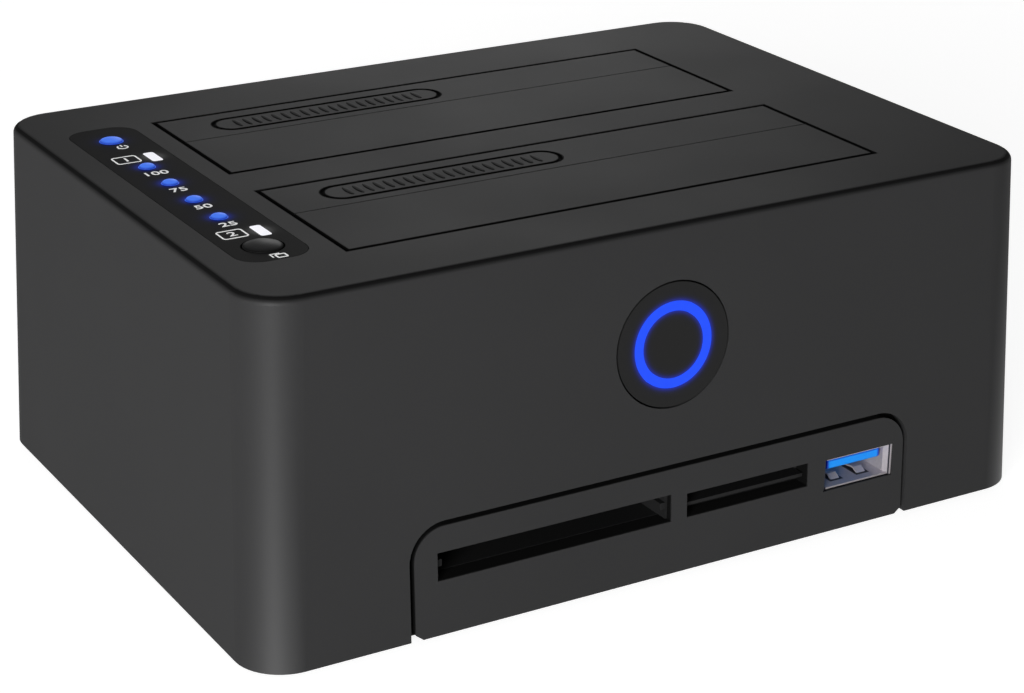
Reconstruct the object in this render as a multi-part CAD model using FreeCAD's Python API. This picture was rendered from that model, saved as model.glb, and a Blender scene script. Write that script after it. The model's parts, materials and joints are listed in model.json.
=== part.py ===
"""Two-bay drive duplicator: a drafted case with two sprung drive flaps, a card and USB panel,
a lit power button, a status strip and the boards, sockets and wells inside.

Millimetres. +X is to the right along the front, +Y to the back, +Z up.
The origin is on the surface that the feet stand on, under the middle of the case.
"""
import FreeCAD
import Part
import math
import os

from FreeCAD import Vector

# ---------------------------------------------------------------- driving dimensions

# case
shell_height = 61.2
draft = 2.2
corner_radius = 8.3
top_edge_radius = 1.3
wall = 2.2
top_plate = 2.2
foot_height = 1.5

# drive bays and their flaps
bay_width = 102.7
bay_depth = 33.4
bay_bridge = 10.15
bay_side_margin = 24.65
bay_front_margin = 16.25
bay_back_margin = 18.4
flap_thickness = 1.8
flap_side_gap = 0.8
flap_front_gap = 0.8
flap_back_gap = 0.45
flap_groove_setback = 19.15
flap_groove_width = 0.35
flap_groove_depth = 0.25
flap_rib_width = 1.0
flap_rib_depth = 1.3
flap_rib_setback = 2.6
flap_rib_start = 11.0
label_length = 45.5
label_width = 7.3
label_x = -19.8
label_back = 7.2
label_line = 0.6
label_depth = 0.35
label_end_flat = 0.02

# flap hinge
hinge_drop = 3.3
hinge_overhang = 1.3
pin_radius = 0.75
knuckle_radius = 1.7
knuckle_length = 7.0
tab_inset = 6.35
tab_width = 7.0
tab_reach = 1.2
tab_thickness = 1.2
tab_neck = 1.5

# flap spring
spring_wire = 0.5
spring_turns = 4
spring_flap_leg = 8.0
spring_wall_leg = 6.0
spring_clearance = 0.15
spring_leg_wire = 0.48

# drive wells
well_setback = 0.2
well_wall = 1.6
well_floor = 1.5
well_floor_gap = 1.4
well_boss_height = 5.5
well_boss_radius = 2.2
well_hole_roof = 0.5
well_ear_width = 6.0
well_ear_thickness = 2.0
well_ear_gap = 1.15
well_slot_play = 0.5
front_well_ear_x = 28.0
rear_well_ear_x = 36.0

# SATA sockets
sata_length = 41.5
sata_width = 5.8
sata_height = 9.0
sata_side_offset = 33.4
sata_front_offset = 5.6
sata_slot_depth = 5.5
sata_slot_width = 1.5
sata_data_slot = 10.4
sata_power_slot = 20.8
sata_slot_spacing = 2.6
sata_key = 1.2
sata_contact_pitch = 1.27
sata_contact_width = 0.6
sata_contact_thickness = 0.25
sata_data_contacts = 7
sata_power_contacts = 15
sata_contact_setback = 0.6

# front port panel
panel_half_width = 48.3
panel_height = 18.9
panel_corner_radius = 5.6
panel_gap = 0.9
panel_lip = 2.0
panel_lip_thickness = 1.2
panel_chamfer_x = 1.4
panel_chamfer_z = 1.0
panel_ceiling = 5.0

# memory card sockets and USB-A socket
cf_x = -22.1
cf_z = 13.45
cf_slot_width = 44.2
cf_slot_height = 4.9
cf_card_width = 42.8
cf_card_depth = 27.0
cf_card_play = 0.5
cf_socket_depth = 36.0
cf_rail_reach = 1.0
cf_rail_height = 1.2
cf_pin_count = 25
cf_pin_pitch = 1.27
cf_pin_row = 1.27
cf_pin_size = 0.45
cf_pin_length = 6.0
sd_x = 15.5
sd_z = 13.2
sd_slot_width = 24.9
sd_slot_height = 4.3
sd_card_width = 24.1
sd_card_play = 0.3
sd_back_wall = 1.5
sd_lower_stop = 8.0
sd_upper_slot = 2.3
sd_shelf = 0.6
sd_socket_depth = 28.0
sd_contact_count = 9
sd_contact_pitch = 2.5
sd_contact_width = 1.0
sd_contact_length = 5.0
sd_contact_thickness = 0.25
sd_contact_rise = 0.7
sd_contact_crest = 4.0
sd_contact_bend = 3.2
socket_skin = 1.0
socket_nose_setback = 1.3
usb_a_x = 38.7
usb_a_z = 12.1
usb_a_width = 13.3
usb_a_height = 5.7
usb_a_depth = 17.0
usb_a_skin = 0.3
usb_a_flare = 0.7
usb_a_flare_length = 1.2
usb_a_lip_edge = 0.42
usb_a_setback = 0.25
usb_a_tongue_width = 11.1
usb_a_tongue_thickness = 1.84
usb_a_tongue_length = 8.8
usb_a_contact_pitch = 2.3
usb_a_contact_count = 4
usb_a_contact_width = 1.0
usb_a_contact_thickness = 0.2
usb_a_contact_setback = 1.2
usb_a_tongue_setback = 0.1
usb_a_tongue_drop = 0.5
usb_a_tongue_chamfer = 0.3
usb_a_flat_lip = 0.9
usb_a_spring_spread = 0.42
usb_a_spring_width = 1.8
usb_a_spring_outline = [(1.2, 0), (2.4, 0.75), (3.2, 0.75), (7.0, 0),
                        (6.0, 0), (3.1, 0.5), (2.5, 0.5), (1.6, 0)]

# power button
power_z = 42.3
power_radius = 10.65
power_travel = 0.8
power_flange = 1.3
power_flange_thickness = 1.2
power_stem_radius = 2.2
ring_outer_radius = 7.48
ring_width = 1.75
ring_depth = 1.6
ring_leg_radius = 0.7
ring_leg_count = 4
ring_leg_root = 0.5
power_board_width = 36.0
power_board_height = 19.0
power_board_gap = 0.9
power_boss_x = 14.9
power_screw_play = 0.2

# status strip and clone button
strip_inset = 14.5
strip_y = 0.5
strip_width = 12.5
strip_length = 76.3
strip_corner = 4.2
strip_thickness = 0.6
strip_side_gap = 0.1
power_lens_offset = -0.1
power_lens_y = 31.0
power_lens_radius = 2.1
progress_offset = -0.3
progress_y = -15.05
progress_pitch = 9.85
progress_radius = 1.5
drive_lens_offset = 2.8
source_lens_y = 19.3
target_lens_y = -24.1
drive_lens_width = 1.9
drive_lens_length = 5.0
lens_head = 0.6
round_pipe_share = 0.7
long_pipe_share_x = 0.8
long_pipe_share_y = 0.6
clone_y = -30.9
clone_radius = 3.2
clone_hole_radius = 3.5
clone_proud = 0.8
clone_dome = 0.7
clone_travel = 0.5
clone_flange = 1.0
clone_flange_thickness = 1.2
clone_stem_radius = 1.6
status_board_well_gap = 1.35
status_board_wall_gap = 3.5
status_board_length = 83.0
status_board_drop = 8.3
status_boss_y = 38.7
lens_gap = 0.4
led_height = 0.8
led_length = 2.0
led_width = 1.6

# push switches on the small boards
switch_size = 6.0
switch_height = 3.5
plunger_radius = 1.75
plunger_height = 1.5
plunger_root = 0.5
plunger_spare = 0.4
switch_corner = 0.6

# boards
board_thickness = 1.6
small_board_thickness = 1.2
main_board_side_gap = 13.0
main_board_end_gap = 5.3
main_board_lift = 1.7
main_post_inset_x = 5.0
main_post_inset_y = 5.5
card_board_length = 102.0
card_board_depth = 40.0
card_post_x = 48.0
card_post_setback = 4.0
board_link_x = 20.0
board_link_setback = 3.0
board_link_length = 26.0
board_link_width = 4.8
board_link_tongue = 22.0
board_link_tongue_width = 1.8
board_link_tongue_height = 1.8
main_post_radius = 3.0
card_post_radius = 2.6

# parts on the boards
chip_corner = 0.2
bridge_x = 8.0
bridge_y = -1.0
bridge_size = 12.0
bridge_height = 1.0
controller_x = -40.0
controller_y = 44.0
controller_size = 10.0
controller_height = 1.1
reader_setback = 12.0
reader_size = 8.0
reader_height = 1.0
capacitor_count = 3
capacitor_y = -24.0
capacitor_pitch = 13.0
capacitor_radius = 3.0
capacitor_base_radius = 3.3
capacitor_base_height = 1.2
capacitor_neck = 0.3
capacitor_height = 7.7
coil_count = 2
coil_y = 17.0
coil_pitch = 9.5
coil_size = 6.8
coil_corner = 0.9
coil_height = 4.0

# flat cables
cable_width = 7.0
cable_thickness = 0.3
cable_plug_height = 3.0
cable_plug_length = 9.0
status_cable_offset = 1.5
status_cable_y = -2.0
status_cable_bow = 1.8
status_plug_width = 3.0
power_cable_x = 10.0
power_cable_bow = 0.8
power_plug_width = 2.4

# rear sockets
usb_b_x = 22.0
usb_b_width = 10.2
usb_b_height = 8.9
usb_b_hump_width = 7.4
usb_b_hump_height = 2.9
usb_b_chamfer = 1.6
usb_b_skin = 0.45
usb_b_well_gap = 0.5
usb_b_core_depth = 9.0
usb_b_tongue_width = 5.6
usb_b_tongue_height = 3.2
usb_b_tongue_setback = 1.0
usb_b_thin_width = 4.8
usb_b_thin_height = 0.8
usb_b_thin_setback = 1.6
usb_b_thin_lift = 0.6
dc_x = 42.0
dc_width = 9.0
dc_height = 11.0
dc_well_gap = 1.5
dc_bore_radius = 3.15
dc_bore_depth = 9.5
dc_pin_radius = 1.05
dc_collar_radius = 4.0
dc_pin_setback = 1.2

# base
base_thickness = 2.0
base_recess = 0.4
base_corner_radius = 6.0
corner_post_inset_x = 7.8
corner_post_inset_y = 8.0
corner_post_radius = 3.2
foot_radius = 6.0
foot_inset_x = 19.0
foot_inset_y = 14.3
foot_seat = 0.6
foot_chamfer = 0.4
vent_length = 26.0
vent_width = 1.8
vent_pitch = 4.6
vent_count = 7
vent_x = 24.0

# screws
base_screw_radius = 1.25
base_screw_head = 2.5
base_screw_head_height = 1.2
base_screw_length = 9.0
recess_reach_share = 0.55
recess_depth_share = 0.6
recess_arm_share = 0.25
board_screw_radius = 1.0
board_screw_head = 2.0
board_screw_head_height = 1.3
board_screw_length = 5.0
card_screw_length = 5.0
well_screw_length = 6.0

# clearances
case_clearance = 0.25
slide_clearance = 0.3
button_side_gap = 0.3
running_clearance = 0.05
press_clearance = 0.02
vertex_slack = 1e-6
seat_clearance = 0.05

# ---------------------------------------------------------------- places worked out from them

bay_pitch = bay_depth + bay_bridge
case_length = bay_width + 2 * bay_side_margin
case_depth = bay_front_margin + bay_pitch + bay_depth + bay_back_margin
front_bay_y = bay_front_margin - case_depth / 2

rim_z = foot_height
top_z = rim_z + shell_height
plate_z = top_z - top_plate
base_bottom_z = rim_z + base_recess
base_top_z = base_bottom_z + base_thickness

bay_fronts = {"front": front_bay_y, "rear": front_bay_y + bay_pitch}
hinge_z = top_z - hinge_drop
hinge_setback = bay_depth - flap_back_gap - hinge_overhang

card_board_top = usb_a_z - usb_a_height / 2
card_board_bottom = card_board_top - board_thickness
cf_socket_top = cf_z + cf_slot_height / 2 + socket_skin
main_board_bottom = cf_socket_top + main_board_lift
main_board_top = main_board_bottom + board_thickness
well_floor_bottom = main_board_top + well_floor_gap
well_floor_top = well_floor_bottom + well_floor
well_boss_bottom = plate_z - well_boss_height

status_board_top = plate_z - status_board_drop
status_board_bottom = status_board_top - small_board_thickness


def lean(z):
    """How far the case wall has leaned in at height z."""
    return draft * (z - rim_z) / shell_height


def front_y(z, inset=0.0):
    """Y of the front wall's outer face at height z, or of a face set in from it."""
    return -(case_depth / 2 - lean(z) - inset)


# ---------------------------------------------------------------- shape helpers

def box(x0, x1, y0, y1, z0, z1):
    """Block between two corners."""
    return Part.makeBox(x1 - x0, y1 - y0, z1 - z0, Vector(x0, y0, z0))


def rod(radius, start, end):
    """Round bar from start to end."""
    axis = end - start
    return Part.makeCylinder(radius, axis.Length, start, axis)


def upright(radius, x, y, z0, z1):
    """Round bar standing along Z."""
    return rod(radius, Vector(x, y, z0), Vector(x, y, z1))


def through(radius, x, z, y0, y1):
    """Round bar lying along Y."""
    return rod(radius, Vector(x, y0, z), Vector(x, y1, z))


def across(radius, y, z, x0, x1):
    """Round bar lying along X."""
    return rod(radius, Vector(x0, y, z), Vector(x1, y, z))


def rounded_wire(half_x, half_y, radius, z):
    """Closed rectangle with round corners at height z, centred on the Z axis."""
    reach = radius * (1 - math.sqrt(0.5))
    edges = []
    for quarter in range(4):
        turn = FreeCAD.Rotation(Vector(0, 0, 1), 90 * quarter)
        a, b = (half_x, half_y) if quarter % 2 == 0 else (half_y, half_x)
        start = turn.multVec(Vector(a, b - radius, z))
        middle = turn.multVec(Vector(a - reach, b - reach, z))
        end = turn.multVec(Vector(a - radius, b, z))
        following = turn.multVec(Vector(-(a - radius), b, z))
        edges.append(Part.Arc(start, middle, end).toShape())
        edges.append(Part.LineSegment(end, following).toShape())
    return Part.Wire(edges)


def rounded_slab(cx, cy, half_x, half_y, radius, z0, z1):
    """Flat slab with round corners."""
    slab = Part.Face(rounded_wire(half_x, half_y, radius, z0)).extrude(Vector(0, 0, z1 - z0))
    slab.translate(Vector(cx, cy, 0))
    return slab


def case_solid(inset, z0, z1):
    """Solid with the case's drafted sides and round corners, set in from its outer face."""
    low_x, high_x = (case_length / 2 - lean(z) - inset for z in (z0, z1))
    low_y, high_y = (case_depth / 2 - lean(z) - inset for z in (z0, z1))
    solid = Part.makeWedge(-low_x, z0, -low_y, -high_y, -high_x, low_x, z1, low_y, high_y, high_x)
    solid.rotate(Vector(0, 0, 0), Vector(1, 0, 0), 90)
    corners = [e for e in solid.Edges if e.BoundBox.ZLength > (z1 - z0) / 2]
    return solid.makeFillet(corner_radius - inset, corners)


def prism_xz(points, y0, y1):
    """Straight-sided outline in the XZ plane, pushed along Y."""
    loop = [Vector(x, y0, z) for x, z in points]
    return Part.Face(Part.makePolygon(loop + loop[:1])).extrude(Vector(0, y1 - y0, 0))


def prism_yz(points, x0, x1):
    """Straight-sided outline in the YZ plane, pushed along X."""
    loop = [Vector(x0, y, z) for y, z in points]
    return Part.Face(Part.makePolygon(loop + loop[:1])).extrude(Vector(x1 - x0, 0, 0))


def arch(half_width, z0, z1, radius, y0, y1):
    """Panel outline: square at the bottom, round at both top corners, pushed along Y."""
    reach = radius * (1 - math.sqrt(0.5))
    right = Part.Arc(Vector(half_width, y0, z1 - radius), Vector(half_width - reach, y0, z1 - reach),
                     Vector(half_width - radius, y0, z1)).toShape()
    left = Part.Arc(Vector(radius - half_width, y0, z1), Vector(reach - half_width, y0, z1 - reach),
                    Vector(-half_width, y0, z1 - radius)).toShape()
    corners = [Vector(-half_width, y0, z1 - radius), Vector(-half_width, y0, z0),
               Vector(half_width, y0, z0), Vector(half_width, y0, z1 - radius)]
    sides = [Part.LineSegment(a, b).toShape() for a, b in zip(corners, corners[1:])]
    crown = Part.LineSegment(Vector(half_width - radius, y0, z1),
                             Vector(radius - half_width, y0, z1)).toShape()
    outline = Part.Wire(sides + [right, crown, left])
    return Part.Face(outline).extrude(Vector(0, y1 - y0, 0))


def revolve(points, centre, axis, side):
    """Solid of revolution: points are (distance from axis, distance along it)."""
    loop = [centre + side * r + axis * h for r, h in points]
    face = Part.Face(Part.makePolygon(loop + loop[:1]))
    return face.revolve(centre, axis, 360)


def joined(shapes):
    """One solid from touching or overlapping shapes."""
    whole = shapes[0].multiFuse(shapes[1:]) if len(shapes) > 1 else shapes[0]
    whole = whole.removeSplitter()
    return whole.Solids[0] if len(whole.Solids) == 1 else whole


def group(shapes):
    """Separate solids kept together in one node."""
    return Part.makeCompound(shapes)


def cut(shape, tools):
    """Shape less every tool."""
    return shape.cut(Part.makeCompound(tools))


# ---------------------------------------------------------------- places shared by several pieces

main_board_half_x = case_length / 2 - main_board_side_gap
main_board_half_y = case_depth / 2 - main_board_end_gap
main_post_x = main_board_half_x - main_post_inset_x
main_post_y = main_board_half_y - main_post_inset_y
corner_post_x = case_length / 2 - corner_post_inset_x
corner_post_y = case_depth / 2 - corner_post_inset_y
foot_x = case_length / 2 - foot_inset_x
foot_y = case_depth / 2 - foot_inset_y
strip_x = strip_inset - case_length / 2
power_lens_x = strip_x + power_lens_offset
progress_x = strip_x + progress_offset
drive_lens_x = strip_x + drive_lens_offset
clone_x = strip_x

main_posts = [(sx * main_post_x, sy * main_post_y) for sx in (-1, 1) for sy in (-1, 1)]
corner_posts = [(sx * corner_post_x, sy * corner_post_y) for sx in (-1, 1) for sy in (-1, 1)]
feet = [(sx * foot_x, sy * foot_y) for sx in (-1, 1) for sy in (-1, 1)]

panel_inner_y = front_y(cf_socket_top, wall + panel_lip_thickness) + seat_clearance
card_board_front = panel_inner_y + slide_clearance
card_board_back = card_board_front + card_board_depth
card_posts = [(sx * card_post_x, y) for sx in (-1, 1)
              for y in (card_board_front + card_post_setback, card_board_back - card_post_setback)]

well_outer_x = bay_width / 2 + well_setback + well_wall
well_ears = {"front": front_well_ear_x, "rear": rear_well_ear_x}
well_ear_reach = bay_bridge - 2 * (well_setback + well_wall) - well_ear_gap
rear_well_back = front_bay_y + bay_pitch + bay_depth + well_setback + well_wall

power_inner_y = front_y(power_z, wall)
power_flange_front = front_y(power_z + power_radius + power_flange, wall) + slide_clearance
power_flange_back = power_flange_front + power_flange_thickness
front_well_front = front_bay_y - well_setback - well_wall
power_board_back = front_well_front - power_board_gap
power_board_front = power_board_back - small_board_thickness
power_plunger_tip = power_board_front - switch_height - plunger_height
power_cable_y = (power_board_front + power_board_back) / 2 - small_board_thickness - power_plug_width / 2
status_cable_x = strip_x + status_cable_offset
ring_radius = ring_outer_radius - ring_width / 2

clone_flange_top = plate_z - slide_clearance
clone_flange_bottom = clone_flange_top - clone_flange_thickness
clone_plunger_tip = status_board_top + switch_height + plunger_height

progress_lenses = [(25 * (i + 1), progress_y + i * progress_pitch) for i in range(4)]

rear_wall_inner = -front_y(main_board_top + dc_height, wall)
usb_b_front = rear_well_back + usb_b_well_gap


def well_ear_places(which):
    """X and Y of the four screw ears round a well."""
    bay_y = bay_fronts[which]
    ear_x = well_ears[which]
    middle = well_setback + well_wall + well_ear_reach / 2
    front = bay_y - middle
    back = bay_y + bay_depth + middle
    return [(sx * ear_x, y) for sx in (-1, 1) for y in (front, back)]


# ---------------------------------------------------------------- case

def top_shell():
    """The drafted case: one moulding, open below, with every opening cut through it."""
    outer = case_solid(0, rim_z, top_z)
    crown = [e for e in outer.Edges if all(abs(v.Z - top_z) < vertex_slack for v in e.Vertexes)]
    outer = outer.makeFillet(top_edge_radius, crown)
    shell = outer.cut(case_solid(wall, rim_z - 1, plate_z))

    posts = [upright(corner_post_radius, x, y, base_top_z, plate_z) for x, y in corner_posts]
    for which in bay_fronts:
        posts += [upright(well_boss_radius, x, y, well_boss_bottom, plate_z)
                  for x, y in well_ear_places(which)]
    posts += [upright(well_boss_radius, strip_x, sy * status_boss_y, status_board_top, plate_z)
              for sy in (-1, 1)]
    posts += [through(well_boss_radius, sx * power_boss_x, power_z, power_inner_y - wall / 2,
                      power_board_front) for sx in (-1, 1)]
    shell = joined([shell] + posts)

    holes = []
    for bay_y in bay_fronts.values():
        holes.append(box(-bay_width / 2, bay_width / 2, bay_y, bay_y + bay_depth, plate_z - 1, top_z + 1))
    holes.append(rounded_slab(strip_x, strip_y, strip_width / 2, strip_length / 2, strip_corner,
                              top_z - strip_thickness, top_z + 1))
    holes += lens_holes(plate_z - 1, top_z)
    holes.append(upright(clone_hole_radius, clone_x, clone_y, plate_z - 1, top_z))
    holes.append(through(power_radius + button_side_gap, 0, power_z, -case_depth / 2 - 1, power_inner_y + 1))
    holes.append(arch(panel_half_width + panel_gap, rim_z - 1, rim_z + panel_height + panel_gap,
                      panel_corner_radius + panel_gap, -case_depth / 2 - 1, front_y(rim_z, wall) + 2))
    holes += rear_holes()
    holes += [upright(base_screw_radius, x, y, base_top_z - 1, base_top_z + base_screw_length)
              for x, y in corner_posts]
    for which in bay_fronts:
        holes += [upright(board_screw_radius, x, y, well_boss_bottom - 1, plate_z - well_hole_roof)
                  for x, y in well_ear_places(which)]
    holes += [upright(board_screw_radius, strip_x, sy * status_boss_y, status_board_top - 1,
                      status_board_top + board_screw_length) for sy in (-1, 1)]
    holes += [through(board_screw_radius, sx * power_boss_x, power_z, power_board_front - board_screw_length,
                      power_board_front + 1) for sx in (-1, 1)]
    return cut(shell, holes)


def lens_holes(z0, z1):
    """Holes that the seven lenses sit in."""
    holes = [upright(power_lens_radius + seat_clearance, power_lens_x, power_lens_y, z0, z1)]
    holes += [upright(progress_radius + seat_clearance, progress_x, y, z0, z1)
              for percent, y in progress_lenses]
    half_x = drive_lens_width / 2 + seat_clearance
    half_y = drive_lens_length / 2 + seat_clearance
    holes += [rounded_slab(drive_lens_x, y, half_x, half_y, half_x / 2, z0, z1)
              for y in (source_lens_y, target_lens_y)]
    return holes


def rear_holes():
    """Openings in the back wall round the uplink socket and the power inlet."""
    y0 = rear_wall_inner - 3
    y1 = case_depth / 2 + 1
    gap = slide_clearance
    usb = [prism_xz(usb_b_outline(gap), y0, y1)]
    inlet = [through(dc_collar_radius + gap, dc_x, main_board_top + dc_height / 2, y0, y1)]
    return usb + inlet


def base_plate():
    """Bottom cover with board posts, screw recesses, foot seats and vent slots."""
    half_x = case_length / 2 - lean(base_top_z) - wall - case_clearance
    half_y = case_depth / 2 - lean(base_top_z) - wall - case_clearance
    plate = rounded_slab(0, 0, half_x, half_y, base_corner_radius, base_bottom_z, base_top_z)
    posts = [upright(main_post_radius, x, y, base_top_z, main_board_bottom) for x, y in main_posts]
    posts += [upright(card_post_radius, x, y, base_top_z, card_board_bottom) for x, y in card_posts]
    plate = joined([plate] + posts)
    holes = [upright(board_screw_radius, x, y, main_board_bottom - board_screw_length, main_board_bottom + 1)
             for x, y in main_posts]
    holes += [upright(board_screw_radius, x, y, card_board_top - card_screw_length, card_board_bottom + 1)
              for x, y in card_posts]
    for x, y in corner_posts:
        holes.append(upright(base_screw_radius + slide_clearance, x, y, base_bottom_z - 1, base_top_z + 1))
        holes.append(upright(base_screw_head + slide_clearance, x, y, base_bottom_z - 1,
                             base_bottom_z + base_screw_head_height))
    holes += [upright(foot_radius + seat_clearance, x, y, base_bottom_z - 1, base_bottom_z + foot_seat)
              for x, y in feet]
    for sx in (-1, 1):
        for i in range(vent_count):
            y = (i - (vent_count - 1) / 2) * vent_pitch
            holes.append(box(sx * vent_x - vent_length / 2, sx * vent_x + vent_length / 2,
                             y - vent_width / 2, y + vent_width / 2, base_bottom_z - 1, base_top_z + 1))
    return cut(plate, holes)


def rubber_feet():
    """Four round feet pressed into the base."""
    shapes = []
    for x, y in feet:
        foot = upright(foot_radius, x, y, 0, base_bottom_z + foot_seat)
        lower = [e for e in foot.Edges if all(abs(v.Z) < vertex_slack for v in e.Vertexes)]
        shapes.append(foot.makeChamfer(foot_chamfer, lower))
    return group(shapes)


def cross_recess(centre, axis, side, size, depth):
    """Cross-shaped tool that cuts the driver recess into a screw head."""
    other = axis.cross(side)
    share = recess_arm_share
    arms = []
    for along, wide in ((side, other), (other, side)):
        loop = [centre + along * (size * a) + wide * (size * b)
                for a, b in ((-1, -share), (1, -share), (1, share), (-1, share))]
        arms.append(Part.Face(Part.makePolygon(loop + loop[:1])).extrude(axis * depth))
    return joined(arms)


def screw(head_seat, axis, radius, length, head_radius, head_height):
    """Round-headed screw: axis points from the head's seat along the shank."""
    shank = rod(radius - press_clearance, head_seat, head_seat + axis * length)
    head = rod(head_radius, head_seat - axis * head_height, head_seat)
    return joined([shank, head])


def base_screws():
    """Four long screws that hold the base to the shell's corner posts."""
    seat = base_bottom_z + base_screw_head_height
    height = base_screw_head_height - seat_clearance
    up = Vector(0, 0, 1)
    side = Vector(1, 0, 0)
    shapes = []
    for x, y in corner_posts:
        body = screw(Vector(x, y, seat), up, base_screw_radius, base_screw_length, base_screw_head, height)
        shapes.append(body.cut(cross_recess(Vector(x, y, seat - height), up, side,
                                            base_screw_head * recess_reach_share,
                                            height * recess_depth_share)))
    return group(shapes)


def board_screws():
    """Screws that hold the four boards to their posts."""
    up = Vector(0, 0, 1)
    down = Vector(0, 0, -1)
    out = Vector(0, -1, 0)
    size = (board_screw_radius, board_screw_length, board_screw_head, board_screw_head_height)
    shapes = [screw(Vector(x, y, main_board_top), down, *size) for x, y in main_posts]
    shapes += [screw(Vector(x, y, card_board_top), down, board_screw_radius,
                     card_screw_length, board_screw_head, board_screw_head_height)
               for x, y in card_posts]
    shapes += [screw(Vector(strip_x, sy * status_boss_y, status_board_bottom), up, *size) for sy in (-1, 1)]
    thin_head = power_board_gap - power_screw_play
    shapes += [screw(Vector(sx * power_boss_x, power_board_back, power_z), out, board_screw_radius,
                     board_screw_length, board_screw_head, thin_head) for sx in (-1, 1)]
    return group(shapes)


def well_screws():
    """Eight screws through the wells' ears into the shell."""
    seat = well_boss_bottom - well_ear_thickness
    shapes = []
    for which in bay_fronts:
        shapes += [screw(Vector(x, y, seat), Vector(0, 0, 1), board_screw_radius,
                         well_screw_length, board_screw_head, board_screw_head_height)
                   for x, y in well_ear_places(which)]
    return group(shapes)


# ---------------------------------------------------------------- front port panel

def front_port_panel():
    """Port panel: a plate flush with the case's front and a lip behind its opening."""
    z_top = rim_z + panel_height
    plate = arch(panel_half_width, rim_z, z_top, panel_corner_radius, -case_depth / 2 - 1, 0)
    z1 = z_top + panel_ceiling
    plate = plate.common(case_solid(0, rim_z, z1).cut(case_solid(wall, rim_z - 1, z1)))
    lip = arch(panel_half_width + panel_gap + panel_lip, base_top_z, z_top + panel_gap + panel_lip,
               panel_corner_radius + panel_gap + panel_lip, -case_depth / 2 - 1, 0)
    layer = case_solid(wall, rim_z, z1).cut(case_solid(wall + panel_lip_thickness, rim_z - 1, z1 + 1))
    panel = joined([plate.Solids[0], lip.common(layer).Solids[0]])
    y0 = -case_depth / 2 - 1
    notches = []
    for sx in (-1, 1):
        edge = sx * panel_half_width
        notches.append(prism_xz([(edge, rim_z - 0.1), (edge, rim_z + panel_chamfer_z),
                                 (edge - sx * panel_chamfer_x, rim_z - 0.1)], y0, front_y(rim_z, wall)))
    slots = [box(cf_x - cf_slot_width / 2, cf_x + cf_slot_width / 2, y0, 0,
                 cf_z - cf_slot_height / 2, cf_z + cf_slot_height / 2),
             box(sd_x - sd_slot_width / 2, sd_x + sd_slot_width / 2, y0, 0,
                 sd_z - sd_slot_height / 2, sd_z + sd_slot_height / 2)]
    half_x = usb_a_width / 2 + usb_a_flare + seat_clearance
    half_z = usb_a_height / 2 + seat_clearance
    slots.append(box(usb_a_x - half_x, usb_a_x + half_x, y0, 0, usb_a_z - half_z, usb_a_z + half_z))
    return cut(panel, notches + slots)


# ---------------------------------------------------------------- memory card sockets

def cf_socket():
    """Card socket: floor, two side guides with rails that fit the card's grooves, pin block behind."""
    y0 = panel_inner_y
    y_back = y0 + cf_socket_depth
    y_block = y0 + cf_card_depth
    half_card = (cf_card_width + cf_card_play) / 2
    half_out = cf_slot_width / 2 + socket_skin
    z_low = cf_z - cf_slot_height / 2
    z_high = cf_z + cf_slot_height / 2
    floor = box(cf_x - half_out, cf_x + half_out, y0, y_back, card_board_top, z_low)
    block = box(cf_x - half_out, cf_x + half_out, y_block, y_back, z_low, cf_socket_top)
    shapes = [floor, block]
    nose_y = front_y(cf_z, socket_nose_setback)
    for sx in (-1, 1):
        inner = cf_x + sx * half_card
        x0, x1 = sorted((inner, cf_x + sx * half_out))
        shapes.append(box(x0, x1, y0, y_block, z_low, cf_socket_top))
        x0, x1 = sorted((inner, cf_x + sx * (cf_slot_width / 2 - seat_clearance)))
        shapes.append(box(x0, x1, nose_y, y0, z_low + seat_clearance, z_high - seat_clearance))
        x0, x1 = sorted((inner - sx * cf_rail_reach, inner))
        shapes.append(box(x0, x1, nose_y, y_block, cf_z - cf_rail_height / 2, cf_z + cf_rail_height / 2))
    return joined(shapes)


def cf_pins():
    """Two rows of contact pins that point out of the pin block."""
    y1 = panel_inner_y + cf_card_depth
    half = cf_pin_size / 2
    pins = []
    for row in (-1, 1):
        z = cf_z + row * cf_pin_row / 2
        for i in range(cf_pin_count):
            x = cf_x + (i - (cf_pin_count - 1) / 2) * cf_pin_pitch
            pins.append(box(x - half, x + half, y1 - cf_pin_length, y1, z - half, z + half))
    return group(pins)


def sd_levels():
    """Heights of the card socket's lower slot, shelf and upper slot."""
    z_low = sd_z - sd_slot_height / 2
    z_high = sd_z + sd_slot_height / 2
    shelf_top = z_high - sd_upper_slot
    return z_low, shelf_top - sd_shelf, shelf_top, z_high


def sd_socket():
    """Card socket with a wide slot over a thin one, parted by a shelf that reaches into the panel."""
    z_low, shelf_low, shelf_top, z_high = sd_levels()
    y0 = panel_inner_y
    y1 = y0 + sd_socket_depth
    half_out = sd_slot_width / 2 + socket_skin
    half_in = (sd_card_width + sd_card_play) / 2
    body = box(sd_x - half_out, sd_x + half_out, y0, y1, card_board_top, z_high + socket_skin)
    body = cut(body, [box(sd_x - half_in, sd_x + half_in, y0 - 1, y1 - sd_back_wall, shelf_top, z_high),
                      box(sd_x - half_in, sd_x + half_in, y0 - 1, y1 - sd_lower_stop, z_low, shelf_low)])
    nose_y = front_y(sd_z, socket_nose_setback)
    shelf = box(sd_x - half_in, sd_x + half_in, nose_y, y0 + 1, shelf_low, shelf_top)
    return joined([body, shelf])


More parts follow.
